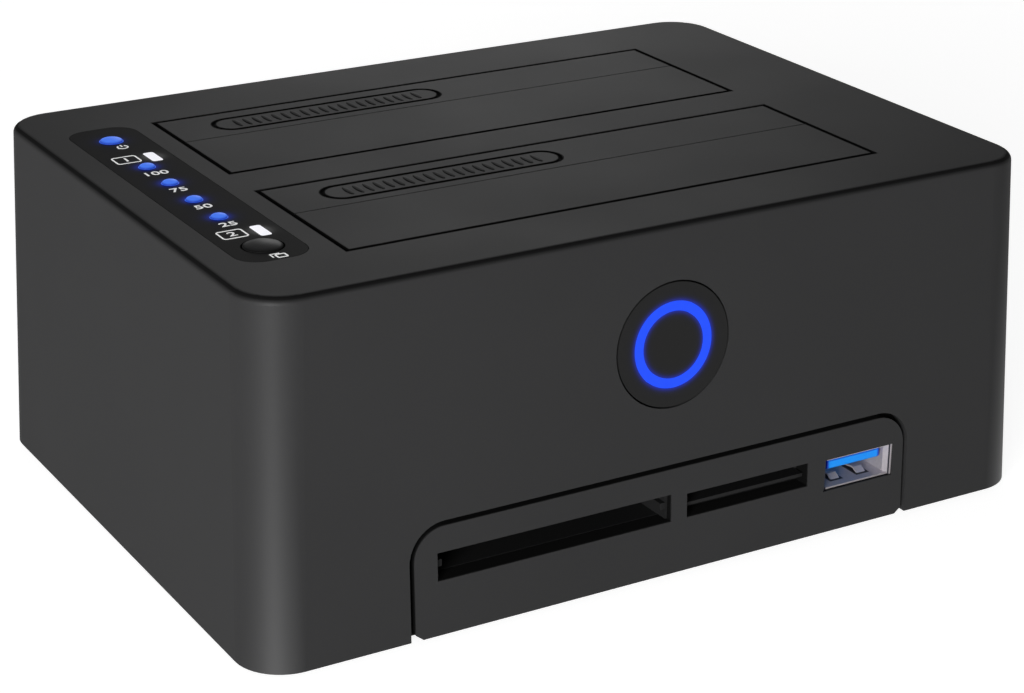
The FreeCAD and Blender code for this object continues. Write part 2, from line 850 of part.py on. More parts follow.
def sd_contacts():
    """Leaf contacts that lie on the shelf at the back of the wide slot."""
    shelf_top = sd_levels()[2]
    y1 = panel_inner_y + sd_socket_depth - sd_back_wall
    leaf_top = shelf_top + sd_contact_thickness
    shapes = []
    for i in range(sd_contact_count):
        x = sd_x + (i - (sd_contact_count - 1) / 2) * sd_contact_pitch
        shapes.append(prism_yz([(y1 - sd_contact_length, shelf_top), (y1, shelf_top), (y1, leaf_top),
                                (y1 - sd_contact_bend, leaf_top),
                                (y1 - sd_contact_crest, shelf_top + sd_contact_rise)],
                               x - sd_contact_width / 2, x + sd_contact_width / 2))
    return group(shapes)


# ---------------------------------------------------------------- USB-A socket

def usb_a_front():
    """Y of the USB-A socket's lips."""
    return front_y(usb_a_z, usb_a_setback)


def usb_a_shell():
    """Folded metal shell, open at the front, with flared side lips and two leaf springs below."""
    y0 = usb_a_front() + usb_a_flare_length
    y1 = usb_a_front() + usb_a_depth
    half_x = usb_a_width / 2
    half_z = usb_a_height / 2
    tube = box(usb_a_x - half_x, usb_a_x + half_x, y0, y1, usb_a_z - half_z, usb_a_z + half_z)
    hollow = box(usb_a_x - half_x + usb_a_skin, usb_a_x + half_x - usb_a_skin, y0 - 1, y1 - usb_a_skin,
                 usb_a_z - half_z + usb_a_skin, usb_a_z + half_z - usb_a_skin)
    tube = tube.cut(hollow)
    lips = []
    for sx in (-1, 1):
        x = usb_a_x + sx * half_x
        tip = x + sx * usb_a_flare
        loop = [Vector(a, b, usb_a_z - half_z) for a, b in
                ((x, y0), (tip, usb_a_front()), (tip - sx * usb_a_lip_edge, usb_a_front()),
                 (x - sx * usb_a_skin, y0))]
        lips.append(Part.Face(Part.makePolygon(loop + loop[:1])).extrude(Vector(0, 0, usb_a_height)))
    for sz in (-1, 1):
        z = usb_a_z + sz * half_z
        z0, z1 = sorted((z, z - sz * usb_a_skin))
        lips.append(box(usb_a_x - half_x, usb_a_x + half_x, y0 - usb_a_flat_lip, y0, z0, z1))
    springs = []
    floor_z = usb_a_z - half_z + usb_a_skin
    for sx in (-1, 1):
        x = usb_a_x + sx * half_x * usb_a_spring_spread
        springs.append(prism_yz([(y0 + y, floor_z + z) for y, z in usb_a_spring_outline],
                                x - usb_a_spring_width / 2, x + usb_a_spring_width / 2))
    return joined([tube] + lips + springs)


def usb_a_tongue_levels():
    """Lower and upper face of the USB-A tongue."""
    top = usb_a_z + usb_a_height / 2 - usb_a_skin - usb_a_tongue_drop
    return top - usb_a_tongue_thickness, top


def usb_a_tongue():
    """Plastic tongue on its block, in the upper half of the socket."""
    low, high = usb_a_tongue_levels()
    y0 = usb_a_front() + usb_a_flare_length + usb_a_tongue_setback
    y_block = y0 + usb_a_tongue_length
    y1 = usb_a_front() + usb_a_depth - usb_a_skin
    half = usb_a_tongue_width / 2
    tongue = box(usb_a_x - half, usb_a_x + half, y0, y_block, low, high)
    nose = [e for e in tongue.Edges if abs(e.BoundBox.YMin - e.BoundBox.YMax) < vertex_slack
            and e.BoundBox.YMax < y0 + usb_a_tongue_chamfer and e.BoundBox.XLength > half]
    tongue = tongue.makeChamfer(usb_a_tongue_chamfer, nose)
    inner_x = usb_a_width / 2 - usb_a_skin
    inner_z = usb_a_height / 2 - usb_a_skin
    block = box(usb_a_x - inner_x, usb_a_x + inner_x, y_block, y1, usb_a_z - inner_z, usb_a_z + inner_z)
    return joined([tongue, block])


def usb_a_contacts():
    """Flat contacts on the tongue's underside."""
    low = usb_a_tongue_levels()[0]
    tip = usb_a_front() + usb_a_flare_length + usb_a_tongue_setback
    half = usb_a_contact_width / 2
    shapes = []
    for i in range(usb_a_contact_count):
        x = usb_a_x + (i - (usb_a_contact_count - 1) / 2) * usb_a_contact_pitch
        shapes.append(box(x - half, x + half, tip + usb_a_contact_setback, tip + usb_a_tongue_length,
                          low - usb_a_contact_thickness, low))
    return group(shapes)


# ---------------------------------------------------------------- flaps

def stadium(cx, cy, length, width, z0, z1):
    """Slab with round ends along X, as the label outlines have."""
    return rounded_slab(cx, cy, length / 2, width / 2, (width - label_end_flat) / 2, z0, z1)


def bay_flap(which):
    """Sprung bay lid: a plate flush with the case top, hinge knuckles behind, stop tabs in front."""
    bay_y = bay_fronts[which]
    axis_y = bay_y + hinge_setback
    x1 = bay_width / 2 - flap_side_gap
    y0 = bay_y + flap_front_gap
    y1 = bay_y + bay_depth - flap_back_gap
    under = top_z - flap_thickness
    plate = box(-x1, x1, y0, y1, under, top_z)
    knuckles = []
    ribs = []
    tabs = []
    rib_z = under - flap_rib_depth
    rib_front = y0 + flap_rib_setback
    rib_back = axis_y - flap_rib_start
    rib_x = x1 - flap_rib_setback
    for sx in (-1, 1):
        xa, xb = sorted((sx * (x1 - seat_clearance), sx * (x1 - knuckle_length)))
        knuckles.append(across(knuckle_radius, axis_y, hinge_z, xa, xb))
        xa, xb = sorted((sx * rib_x, sx * (rib_x - flap_rib_width)))
        ribs.append(box(xa, xb, rib_front, rib_back, rib_z, under))
        tab_x = sx * (bay_width / 2 - tab_inset)
        neck_x = (tab_x - tab_width / 2, tab_x + tab_width / 2)
        tab_z1 = plate_z - slide_clearance
        tab_z0 = tab_z1 - tab_thickness
        tabs.append(prism_yz([(bay_y - tab_reach, tab_z0), (y0 + tab_neck, tab_z0), (y0 + tab_neck, under),
                              (y0, under), (y0, tab_z1), (bay_y - tab_reach, tab_z1)], *neck_x))
    for i in (-1, 0, 1):
        x = i * rib_x / 2
        ribs.append(box(x - flap_rib_width / 2, x + flap_rib_width / 2, rib_front, rib_back, rib_z, under))
    for y in (rib_front, rib_back - flap_rib_width):
        ribs.append(box(-rib_x, rib_x, y, y + flap_rib_width, rib_z, under))
    flap = joined([plate] + knuckles + ribs + tabs)
    tools = [across(pin_radius + running_clearance, axis_y, hinge_z, -x1 - 1, x1 + 1)]
    groove_y = y0 + flap_groove_setback
    tools.append(box(-x1 - 1, x1 + 1, groove_y, groove_y + flap_groove_width,
                     top_z - flap_groove_depth, top_z + 1))
    label_y = bay_y + bay_depth - label_back
    ring = stadium(label_x, label_y, label_length, label_width, top_z - label_depth, top_z + 1)
    core = stadium(label_x, label_y, label_length - 2 * label_line, label_width - 2 * label_line,
                   top_z - label_depth - 1, top_z + 2)
    tools.append(ring.cut(core))
    return cut(flap, tools)


def hinge_pin(which):
    """Steel rod that the flap turns on, laid in the notches of the well's side walls."""
    axis_y = bay_fronts[which] + hinge_setback
    return across(pin_radius, axis_y, hinge_z, -well_outer_x, well_outer_x)


def flap_spring(which):
    """Torsion spring: a close coil round the pin, one leg under the flap, one down the well's wall."""
    axis_y = bay_fronts[which] + hinge_setback
    inner = pin_radius + spring_clearance
    middle = inner + spring_wire / 2
    x0 = -(bay_width / 2 - flap_side_gap - knuckle_length) + slide_clearance
    points = [(inner, 0)]
    for turn in range(spring_turns):
        points += [(middle, turn * spring_wire), (inner + spring_wire, (turn + 0.5) * spring_wire)]
    points += [(middle, spring_turns * spring_wire), (inner, spring_turns * spring_wire)]
    coil = revolve(points, Vector(x0, axis_y, hinge_z), Vector(1, 0, 0), Vector(0, 0, 1))
    wire = spring_leg_wire / 2
    first = x0 + spring_wire / 2
    last = x0 + (spring_turns - 0.5) * spring_wire
    flap_leg = rod(wire, Vector(last, axis_y, hinge_z + middle),
                   Vector(last, axis_y - spring_flap_leg, hinge_z + middle))
    wall_leg = rod(wire, Vector(first, axis_y + middle, hinge_z),
                   Vector(first, axis_y + middle, hinge_z - spring_wall_leg))
    return joined([coil, flap_leg, wall_leg])


# ---------------------------------------------------------------- drive wells and SATA sockets

def sata_centre(which):
    """Middle of a SATA socket, set from the side and the front of a drive in its well."""
    return (-bay_width / 2 + sata_side_offset, bay_fronts[which] + sata_front_offset)


def drive_well(which):
    """Open-topped guide for one drive, hung from the case top by four ears."""
    bay_y = bay_fronts[which]
    inner_x = bay_width / 2 + well_setback
    y0 = bay_y - well_setback
    y1 = bay_y + bay_depth + well_setback
    axis_y = bay_y + hinge_setback
    body = box(-well_outer_x, well_outer_x, y0 - well_wall, y1 + well_wall, well_floor_bottom, plate_z)
    ears = []
    for x, y in well_ear_places(which):
        ears.append(box(x - well_ear_width / 2, x + well_ear_width / 2, y - well_ear_reach / 2,
                        y + well_ear_reach / 2, well_boss_bottom - well_ear_thickness, well_boss_bottom))
    well = joined([body] + ears)
    tools = [box(-inner_x, inner_x, y0, y1, well_floor_top, plate_z + 1)]
    tools += [upright(board_screw_radius + slide_clearance, x, y, well_boss_bottom - well_ear_thickness - 1,
                      well_boss_bottom + 1) for x, y in well_ear_places(which)]
    sata_x, sata_y = sata_centre(which)
    tools.append(box(sata_x - sata_length / 2 - slide_clearance, sata_x + sata_length / 2 + slide_clearance,
                     sata_y - sata_width / 2 - slide_clearance, sata_y + sata_width / 2 + slide_clearance,
                     well_floor_bottom - 1, well_floor_top + 1))
    notch = pin_radius + press_clearance
    tools.append(across(notch, axis_y, hinge_z, -well_outer_x - 1, well_outer_x + 1))
    tools.append(box(-well_outer_x - 1, well_outer_x + 1, axis_y - notch, axis_y + notch,
                     hinge_z, plate_z + 1))
    reach = hinge_setback + tab_reach
    drop = math.sqrt(reach ** 2 - (hinge_setback + well_setback) ** 2) + tab_thickness
    for sx in (-1, 1):
        half = tab_width / 2 + slide_clearance
        tab_x = sx * (bay_width / 2 - tab_inset)
        tools.append(box(tab_x - half, tab_x + half, y0 - well_wall - 1, y0 + well_slot_play,
                         hinge_z - drop, plate_z + 1))
    return cut(well, tools)


def sata_slots(which):
    """The two L-shaped slots as (x from, x to) along the socket, data slot first."""
    centre_x = sata_centre(which)[0]
    whole = sata_data_slot + sata_slot_spacing + sata_power_slot
    data = (centre_x - whole / 2, centre_x - whole / 2 + sata_data_slot)
    power = (data[1] + sata_slot_spacing, centre_x + whole / 2)
    return data, power


def sata_socket(which):
    """Upright 22-way socket on the main board with its two keyed slots."""
    x, y = sata_centre(which)
    top = main_board_top + sata_height
    body = box(x - sata_length / 2, x + sata_length / 2, y - sata_width / 2, y + sata_width / 2,
               main_board_top, top)
    tools = []
    for x0, x1 in sata_slots(which):
        tools.append(box(x0, x1, y - sata_slot_width / 2, y + sata_slot_width / 2,
                         top - sata_slot_depth, top + 1))
        tools.append(box(x0, x0 + sata_key, y, y + sata_slot_width / 2 + sata_key,
                         top - sata_slot_depth, top + 1))
    return cut(body, tools)


def sata_contacts(which):
    """Blade contacts along the back wall of both slots."""
    y = sata_centre(which)[1] - sata_slot_width / 2
    top = main_board_top + sata_height
    counts = (sata_data_contacts, sata_power_contacts)
    shapes = []
    for (x0, x1), count in zip(sata_slots(which), counts):
        first = (x0 + x1) / 2 - (count - 1) * sata_contact_pitch / 2
        for i in range(count):
            x = first + i * sata_contact_pitch
            shapes.append(box(x - sata_contact_width / 2, x + sata_contact_width / 2, y,
                              y + sata_contact_thickness, top - sata_slot_depth, top - sata_contact_setback))
    return group(shapes)


# ---------------------------------------------------------------- boards

def main_board():
    """Board under both wells, on four tall posts."""
    board = box(-main_board_half_x, main_board_half_x, -main_board_half_y, main_board_half_y,
                main_board_bottom, main_board_top)
    holes = [upright(board_screw_radius + slide_clearance, x, y, main_board_bottom - 1, main_board_top + 1)
             for x, y in main_posts]
    return cut(board, holes)


def card_board():
    """Board that carries the card sockets and the USB-A socket."""
    board = box(-card_board_length / 2, card_board_length / 2, card_board_front, card_board_back,
                card_board_bottom, card_board_top)
    holes = [upright(board_screw_radius + slide_clearance, x, y, card_board_bottom - 1, card_board_top + 1)
             for x, y in card_posts]
    return cut(board, holes)


def status_board():
    """Narrow board under the status strip."""
    outer_x = case_length / 2 - lean(status_board_top) - wall - status_board_wall_gap
    board = box(-outer_x, -well_outer_x - status_board_well_gap,
                -status_board_length / 2, status_board_length / 2, status_board_bottom, status_board_top)
    holes = [upright(board_screw_radius + slide_clearance, strip_x, sy * status_boss_y,
                     status_board_bottom - 1, status_board_top + 1) for sy in (-1, 1)]
    return cut(board, holes)


def power_board():
    """Upright board behind the power button."""
    board = box(-power_board_width / 2, power_board_width / 2, power_board_front, power_board_back,
                power_z - power_board_height / 2, power_z + power_board_height / 2)
    holes = [through(board_screw_radius + slide_clearance, sx * power_boss_x, power_z,
                     power_board_front - 1, power_board_back + 1) for sx in (-1, 1)]
    return cut(board, holes)


def chip(x, y, z, size, height):
    """Square chip with a chamfered pin-one corner."""
    half = size / 2
    edge = 1 - chip_corner
    loop = [Vector(x + a * half, y + b * half, z) for a, b in
            ((-1, -edge), (-edge, -1), (1, -1), (1, 1), (-1, 1))]
    return Part.Face(Part.makePolygon(loop + loop[:1])).extrude(Vector(0, 0, height))


def capacitors():
    """Can capacitors on the main board, beside the wells."""
    base = capacitor_base_height
    points = [(0, 0), (capacitor_base_radius, 0), (capacitor_base_radius, base),
              (capacitor_radius, base + capacitor_neck), (capacitor_radius, capacitor_height),
              (0, capacitor_height)]
    return group([revolve(points, Vector(main_post_x, capacitor_y + capacitor_pitch * i, main_board_top),
                          Vector(0, 0, 1), Vector(1, 0, 0)) for i in range(capacitor_count)])


def power_coils():
    """Shielded coils of the voltage converters."""
    half = coil_size / 2
    return group([rounded_slab(main_post_x, coil_y + coil_pitch * i, half, half, coil_corner,
                               main_board_top, main_board_top + coil_height) for i in range(coil_count)])


def board_link_block(length, width, z0, z1):
    """Block of the stacking connector between the two boards."""
    y = card_board_back - board_link_setback
    return box(board_link_x - length / 2, board_link_x + length / 2, y - width / 2, y + width / 2, z0, z1)


board_link_middle = (card_board_top + main_board_bottom) / 2


def board_link_header():
    """Stacking header on the card board."""
    top = board_link_middle + board_link_tongue_height
    body = board_link_block(board_link_length, board_link_width, card_board_top, board_link_middle)
    tongue = board_link_block(board_link_tongue, board_link_tongue_width, board_link_middle, top)
    return joined([body, tongue])


def board_link_socket():
    """Socket under the main board that takes the header."""
    body = board_link_block(board_link_length, board_link_width, board_link_middle, main_board_bottom)
    gap = 2 * seat_clearance
    top = board_link_middle + board_link_tongue_height + gap
    return body.cut(board_link_block(board_link_tongue + gap, board_link_tongue_width + gap,
                                     board_link_middle - 1, top))


# ---------------------------------------------------------------- rear sockets

def usb_b_outline(gap):
    """The uplink socket's stepped outline, standing on the main board."""
    w = usb_b_width / 2 + gap
    h = usb_b_hump_width / 2 + gap
    z0 = main_board_top - gap
    z1 = main_board_top + usb_b_height + gap
    z2 = z1 + usb_b_hump_height
    c = usb_b_chamfer
    right = [(w, z0), (w, z1 - c), (w - c / 2, z1), (h, z1), (h, z2)]
    return [(usb_b_x + x, z) for x, z in right] + [(usb_b_x - x, z) for x, z in reversed(right)]


def usb_b_back():
    """Y of the uplink socket's mouth, level with the case's back at its foot."""
    return -front_y(main_board_top + usb_b_height + usb_b_hump_height)


def usb_b_shell():
    """Metal shell of the square uplink socket."""
    y1 = usb_b_back()
    tube = prism_xz(usb_b_outline(0), usb_b_front, y1)
    return tube.cut(prism_xz(usb_b_outline(-usb_b_skin), usb_b_front + usb_b_skin, y1 + 1))


def usb_b_tongue():
    """Plastic core of the uplink socket: block with a square tongue and a thin upper tongue."""
    y1 = usb_b_back()
    y0 = usb_b_front + usb_b_skin
    face_y = y1 - usb_b_core_depth
    inner = prism_xz(usb_b_outline(-usb_b_skin), y0, face_y)
    z = main_board_top + usb_b_height / 2
    lower = box(usb_b_x - usb_b_tongue_width / 2, usb_b_x + usb_b_tongue_width / 2, face_y,
                y1 - usb_b_tongue_setback, z - usb_b_tongue_height / 2, z + usb_b_tongue_height / 2)
    top = main_board_top + usb_b_height + usb_b_thin_lift
    upper = box(usb_b_x - usb_b_thin_width / 2, usb_b_x + usb_b_thin_width / 2, face_y,
                y1 - usb_b_thin_setback, top, top + usb_b_thin_height)
    return joined([inner, lower, upper])


def dc_inlet():
    """Power inlet housing with a round collar and bore."""
    z = main_board_top + dc_height / 2
    y1 = usb_b_back()
    y_face = -front_y(main_board_top + dc_height, wall) - slide_clearance
    body = box(dc_x - dc_width / 2, dc_x + dc_width / 2, rear_well_back + dc_well_gap, y_face,
               main_board_top, main_board_top + dc_height)
    collar = through(dc_collar_radius, dc_x, z, y_face, y1)
    housing = joined([body, collar])
    return housing.cut(through(dc_bore_radius, dc_x, z, y1 - dc_bore_depth, y1 + 1))


def dc_inlet_pin():
    """Centre pin of the power inlet."""
    z = main_board_top + dc_height / 2
    y1 = usb_b_back()
    return through(dc_pin_radius, dc_x, z, y1 - dc_bore_depth, y1 - dc_pin_setback)


# ---------------------------------------------------------------- power button

def power_button():
    """Round button: face parallel to the case front, flange behind the wall, stem to the switch."""
    y_front = -case_depth / 2 - 1
    disc = through(power_radius, 0, power_z, y_front, power_flange_back)
    disc = disc.common(case_solid(0, rim_z, top_z - 2))
    flange = through(power_radius + power_flange, 0, power_z, power_flange_front, power_flange_back)
    stem = through(power_stem_radius, 0, power_z, power_flange_back, power_plunger_tip)
    button = joined([disc.Solids[0], flange, stem])
    groove_y = front_y(power_z) + ring_depth
    outer = through(ring_outer_radius, 0, power_z, y_front, groove_y)
    inner = through(ring_outer_radius - ring_width, 0, power_z, y_front - 1, groove_y + 1)
    legs = [through(ring_leg_radius + seat_clearance, x, z, groove_y - ring_leg_root, power_flange_back + 1)
            for x, z in ring_legs()]
    return cut(button, [outer.cut(inner)] + legs)


def ring_legs():
    """X and Z of the light ring's legs."""
    return [(ring_radius * math.cos(a), power_z + ring_radius * math.sin(a))
            for a in (math.pi / 4 + i * 2 * math.pi / ring_leg_count for i in range(ring_leg_count))]


def power_light_ring():
    """Clear ring in the button's groove, with legs that bring the light from behind."""
    groove_y = front_y(power_z) + ring_depth
    y_front = -case_depth / 2 - 1
    outer = through(ring_outer_radius - seat_clearance, 0, power_z, y_front, groove_y)
    inner = through(ring_outer_radius - ring_width + seat_clearance, 0, power_z, y_front - 1, groove_y + 1)
    ring = outer.cut(inner).common(case_solid(0, rim_z, top_z - 2))
    leg_end = power_board_front - led_height - power_travel - lens_gap
    legs = [through(ring_leg_radius, x, z, groove_y - ring_leg_root, leg_end) for x, z in ring_legs()]
    return joined([ring.Solids[0]] + legs)


def push_switch(seat, axis, travel):
    """Small square push switch standing on its board, bored for its plunger."""
    side = Vector(1, 0, 0)
    other = axis.cross(side)
    half = switch_size / 2
    edge = half - switch_corner
    loop = [seat + side * a + other * b for a, b in
            ((-half, -edge), (-edge, -half), (edge, -half), (half, -edge),
             (half, edge), (edge, half), (-edge, half), (-half, edge))]
    body = Part.Face(Part.makePolygon(loop + loop[:1])).extrude(axis * switch_height)
    bore_depth = plunger_root + travel + plunger_spare
    return body.cut(rod(plunger_radius + seat_clearance, seat + axis * (switch_height - bore_depth),
                        seat + axis * (switch_height + 1)))


def push_plunger(seat, axis):
    """The switch's plunger, which its button presses."""
    return rod(plunger_radius, seat + axis * (switch_height - plunger_root),
               seat + axis * (switch_height + plunger_height))


power_switch_seat = Vector(0, power_board_front, power_z)
power_switch_axis = Vector(0, -1, 0)
clone_switch_seat = Vector(clone_x, clone_y, status_board_top)
clone_switch_axis = Vector(0, 0, 1)


# ---------------------------------------------------------------- status strip and clone button

def status_strip():
    """Thin dark film strip let into the case top, flush, with holes for the lenses and the button."""
    gap = strip_side_gap
    strip = rounded_slab(strip_x, strip_y, strip_width / 2 - gap, strip_length / 2 - gap, strip_corner - gap,
                         top_z - strip_thickness, top_z)
    holes = lens_holes(top_z - 2, top_z + 1)
    holes.append(upright(clone_hole_radius, clone_x, clone_y, top_z - 2, top_z + 1))
    return cut(strip, holes)


def lens_foot():
    """Height of the lenses' lower ends, just over the LEDs."""
    return status_board_top + led_height + lens_gap


def round_lens(x, y, radius):
    """Round lens: a head flush with the strip and a thinner light pipe below."""
    head = upright(radius, x, y, plate_z - lens_head, top_z)
    pipe = upright(radius * round_pipe_share, x, y, lens_foot(), plate_z)
    return joined([head, pipe])


def drive_lens(y):
    """Oblong lens for one drive's activity light."""
    half_x = drive_lens_width / 2
    half_y = drive_lens_length / 2
    head = rounded_slab(drive_lens_x, y, half_x, half_y, half_x / 2, plate_z - lens_head, top_z)
    pipe = rounded_slab(drive_lens_x, y, half_x * long_pipe_share_x, half_y * long_pipe_share_y, half_x / 3,
                        lens_foot(), plate_z)
    return joined([head, pipe])


def leds():
    """Seven LEDs under the lenses and four behind the light ring's legs."""
    places = [(power_lens_x, power_lens_y)] + [(progress_x, y) for percent, y in progress_lenses]
    places += [(drive_lens_x, source_lens_y), (drive_lens_x, target_lens_y)]
    long, wide = led_length / 2, led_width / 2
    flat = [box(x - wide, x + wide, y - long, y + long, status_board_top, status_board_top + led_height)
            for x, y in places]
    upright_ones = [box(x - long, x + long, power_board_front - led_height, power_board_front,
                        z - wide, z + wide) for x, z in ring_legs()]
    return group(flat + upright_ones)


def clone_button():
    """Domed button cap with a flange under the case top and a stem to its switch."""
    crown = top_z + clone_proud
    base = crown - clone_dome
    cap = upright(clone_radius, clone_x, clone_y, clone_flange_bottom, base)
    ball = (clone_radius ** 2 + clone_dome ** 2) / (2 * clone_dome)
    dome = Part.makeSphere(ball, Vector(clone_x, clone_y, crown - ball))
    dome = dome.common(upright(clone_radius, clone_x, clone_y, base, crown + 1))
    flange = upright(clone_radius + clone_flange, clone_x, clone_y, clone_flange_bottom, clone_flange_top)
    stem = upright(clone_stem_radius, clone_x, clone_y, clone_plunger_tip, clone_flange_bottom)
    return joined([cap, dome, flange, stem])


# ---------------------------------------------------------------- flat cables

def bowed_strip(start, end, across_dir, half_width, thickness, bow):
    """Flat cable: a strip between two points with one gentle bow."""
    chord = end - start
    normal = chord.cross(across_dir)
    normal.normalize()
    middle = (start + end) * 0.5
    inner = Part.Arc(start, middle + normal * bow, end).toShape()
    shift = normal * thickness
    outer = Part.Arc(start + shift, middle + normal * (bow + thickness), end + shift).toShape()
    edges = [inner, Part.LineSegment(end, end + shift).toShape(), outer,
             Part.LineSegment(start + shift, start).toShape()]
    face = Part.Face(Part.Wire(edges))
    face.translate(across_dir * -half_width)
    return face.extrude(across_dir * (2 * half_width))


def cable_plugs():
    """Plugs at both ends of the two flat cables."""
    x, y = status_cable_x, status_cable_y
    u, v = power_cable_x, power_cable_y
    half = cable_plug_length / 2
    wide = status_plug_width / 2
    thin = power_plug_width / 2
    low = power_z - power_board_height / 2
    top = main_board_top + cable_plug_height
    return group([box(x - wide, x + wide, y - half, y + half, main_board_top, top),
                  box(x - wide, x + wide, y - half, y + half, status_board_bottom - cable_plug_height,
                      status_board_bottom),
                  box(u - half, u + half, v - thin, v + thin, main_board_top, top),
                  box(u - half, u + half, v - thin, power_board_front, low, low + cable_plug_height)])


def status_cable():
    """Flat cable from the status board to the main board."""
    x, y = status_cable_x, status_cable_y
    return bowed_strip(Vector(x, y, main_board_top + cable_plug_height),
                       Vector(x, y, status_board_bottom - cable_plug_height), Vector(0, 1, 0),
                       cable_width / 2, cable_thickness, status_cable_bow)


def power_cable():
    """Flat cable from the power switch board to the main board."""
    u, v = power_cable_x, power_cable_y
    return bowed_strip(Vector(u, v, main_board_top + cable_plug_height),
                       Vector(u, v, power_z - power_board_height / 2), Vector(1, 0, 0),
                       cable_width / 2, cable_thickness, power_cable_bow)


# ---------------------------------------------------------------- nodes

def nodes():
    """Every named piece of the duplicator."""
    parts = {
        "top_shell": top_shell(),
        "base_plate": base_plate(),
        "rubber_feet": rubber_feet(),
        "base_screws": base_screws(),
        "front_port_panel": front_port_panel(),
        "cf_socket": cf_socket(),
        "cf_pins": cf_pins(),
        "sd_socket": sd_socket(),
        "sd_contacts": sd_contacts(),
        "usb_a_shell": usb_a_shell(),
        "usb_a_tongue": usb_a_tongue(),
        "usb_a_contacts": usb_a_contacts(),
        "main_board": main_board(),
        "card_board": card_board(),
        "status_board": status_board(),
        "power_board": power_board(),
        "board_screws": board_screws(),
        "well_screws": well_screws(),
        "bridge_chip": chip(bridge_x, bridge_y, main_board_top, bridge_size, bridge_height),
        "clone_controller_chip": chip(controller_x, controller_y, main_board_top, controller_size,
                                      controller_height),
        "reader_chip": chip(usb_a_x, card_board_back - reader_setback, card_board_top, reader_size,
                            reader_height),
        "capacitors": capacitors(),
        "power_coils": power_coils(),
        "board_link_header": board_link_header(),
        "board_link_socket": board_link_socket(),
        "usb_b_shell": usb_b_shell(),
        "usb_b_tongue": usb_b_tongue(),
        "dc_inlet": dc_inlet(),
        "dc_inlet_pin": dc_inlet_pin(),
        "power_button": power_button(),
        "power_light_ring": power_light_ring(),
        "power_switch": push_switch(power_switch_seat, power_switch_axis, power_travel),
        "power_switch_plunger": push_plunger(power_switch_seat, power_switch_axis),
        "status_strip": status_strip(),
        "power_lens": round_lens(power_lens_x, power_lens_y, power_lens_radius),
        "source_lens": drive_lens(source_lens_y),
        "target_lens": drive_lens(target_lens_y),
        "leds": leds(),
        "clone_button": clone_button(),
        "clone_switch": push_switch(clone_switch_seat, clone_switch_axis, clone_travel),
        "clone_switch_plunger": push_plunger(clone_switch_seat, clone_switch_axis),
        "cable_plugs": cable_plugs(),
        "status_cable": status_cable(),
        "power_cable": power_cable(),
    }
    for percent, y in progress_lenses:
        parts[f"progress_lens_{percent}"] = round_lens(progress_x, y, progress_radius)
    for which in bay_fronts:
        parts[f"bay_flap_{which}"] = bay_flap(which)
        parts[f"hinge_pin_{which}"] = hinge_pin(which)
        parts[f"flap_spring_{which}"] = flap_spring(which)
        parts[f"drive_well_{which}"] = drive_well(which)
        parts[f"sata_socket_{which}"] = sata_socket(which)
        parts[f"sata_contacts_{which}"] = sata_contacts(which)
    return parts


os.makedirs("parts", exist_ok=True)
for name, shape in nodes().items():
    if not shape.isValid():
        raise ValueError(f"{name} is not a valid shape")
    shape.exportStep(f"parts/{name}.step")
    print(f"{name}: {len(shape.Solids)} solid(s), {shape.Volume:.1f} mm3")
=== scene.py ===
# %% [markdown]
# # A two-bay drive duplicator
#
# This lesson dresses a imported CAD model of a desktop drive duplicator: a near-black plastic case
# with two sprung lids, a strip of status lights, a lit power button and a panel of card slots.
# The model is loaded as a fixed frame. Nothing in it is moved or resized. Each piece only gets its
# finish, and a few pieces that are finer than the CAD needs are made here and ride on its bodies.

# %% Load the frame
import json
import math

import bmesh
import bpy
from mathutils import Matrix, Vector


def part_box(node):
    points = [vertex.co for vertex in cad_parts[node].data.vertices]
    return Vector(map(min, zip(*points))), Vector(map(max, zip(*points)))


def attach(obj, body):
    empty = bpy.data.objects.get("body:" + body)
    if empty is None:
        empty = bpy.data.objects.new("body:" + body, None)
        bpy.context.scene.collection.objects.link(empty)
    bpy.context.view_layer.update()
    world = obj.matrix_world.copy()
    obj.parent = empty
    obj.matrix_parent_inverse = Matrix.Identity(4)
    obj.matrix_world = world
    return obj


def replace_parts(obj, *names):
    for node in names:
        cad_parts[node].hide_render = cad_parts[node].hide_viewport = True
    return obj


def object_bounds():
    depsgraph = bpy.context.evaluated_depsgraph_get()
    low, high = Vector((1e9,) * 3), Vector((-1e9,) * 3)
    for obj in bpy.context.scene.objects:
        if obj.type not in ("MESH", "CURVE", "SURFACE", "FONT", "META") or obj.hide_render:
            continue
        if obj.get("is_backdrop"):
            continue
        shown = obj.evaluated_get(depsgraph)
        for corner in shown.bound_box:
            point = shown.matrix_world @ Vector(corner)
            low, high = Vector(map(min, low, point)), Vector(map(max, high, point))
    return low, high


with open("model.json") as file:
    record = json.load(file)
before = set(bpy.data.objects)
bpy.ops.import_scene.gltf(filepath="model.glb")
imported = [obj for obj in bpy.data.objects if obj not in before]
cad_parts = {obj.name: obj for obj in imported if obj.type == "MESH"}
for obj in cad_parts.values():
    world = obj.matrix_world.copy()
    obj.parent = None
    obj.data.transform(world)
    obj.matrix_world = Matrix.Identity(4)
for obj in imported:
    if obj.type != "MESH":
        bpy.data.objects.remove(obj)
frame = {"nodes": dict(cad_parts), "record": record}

cad_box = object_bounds()
nodes = frame["nodes"]
print("size in mm:", [round(1000 * (b - a), 1) for a, b in zip(*cad_box)])


# %% [markdown]
# ## Places read from the frame
#
# Sizes are in metres. A node's lowest and highest corner say where it is, so a glow sits on its
# lens and a number sits beside it even if the model changes.

# %% Boxes and faces of the nodes
SAME_HEIGHT = 0.000001


def middle(node):
    """Middle of a CAD node's box."""
    low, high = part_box(node)
    return (low + high) / 2


def top(node):
    """Highest point of a CAD node."""
    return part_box(node)[1].z


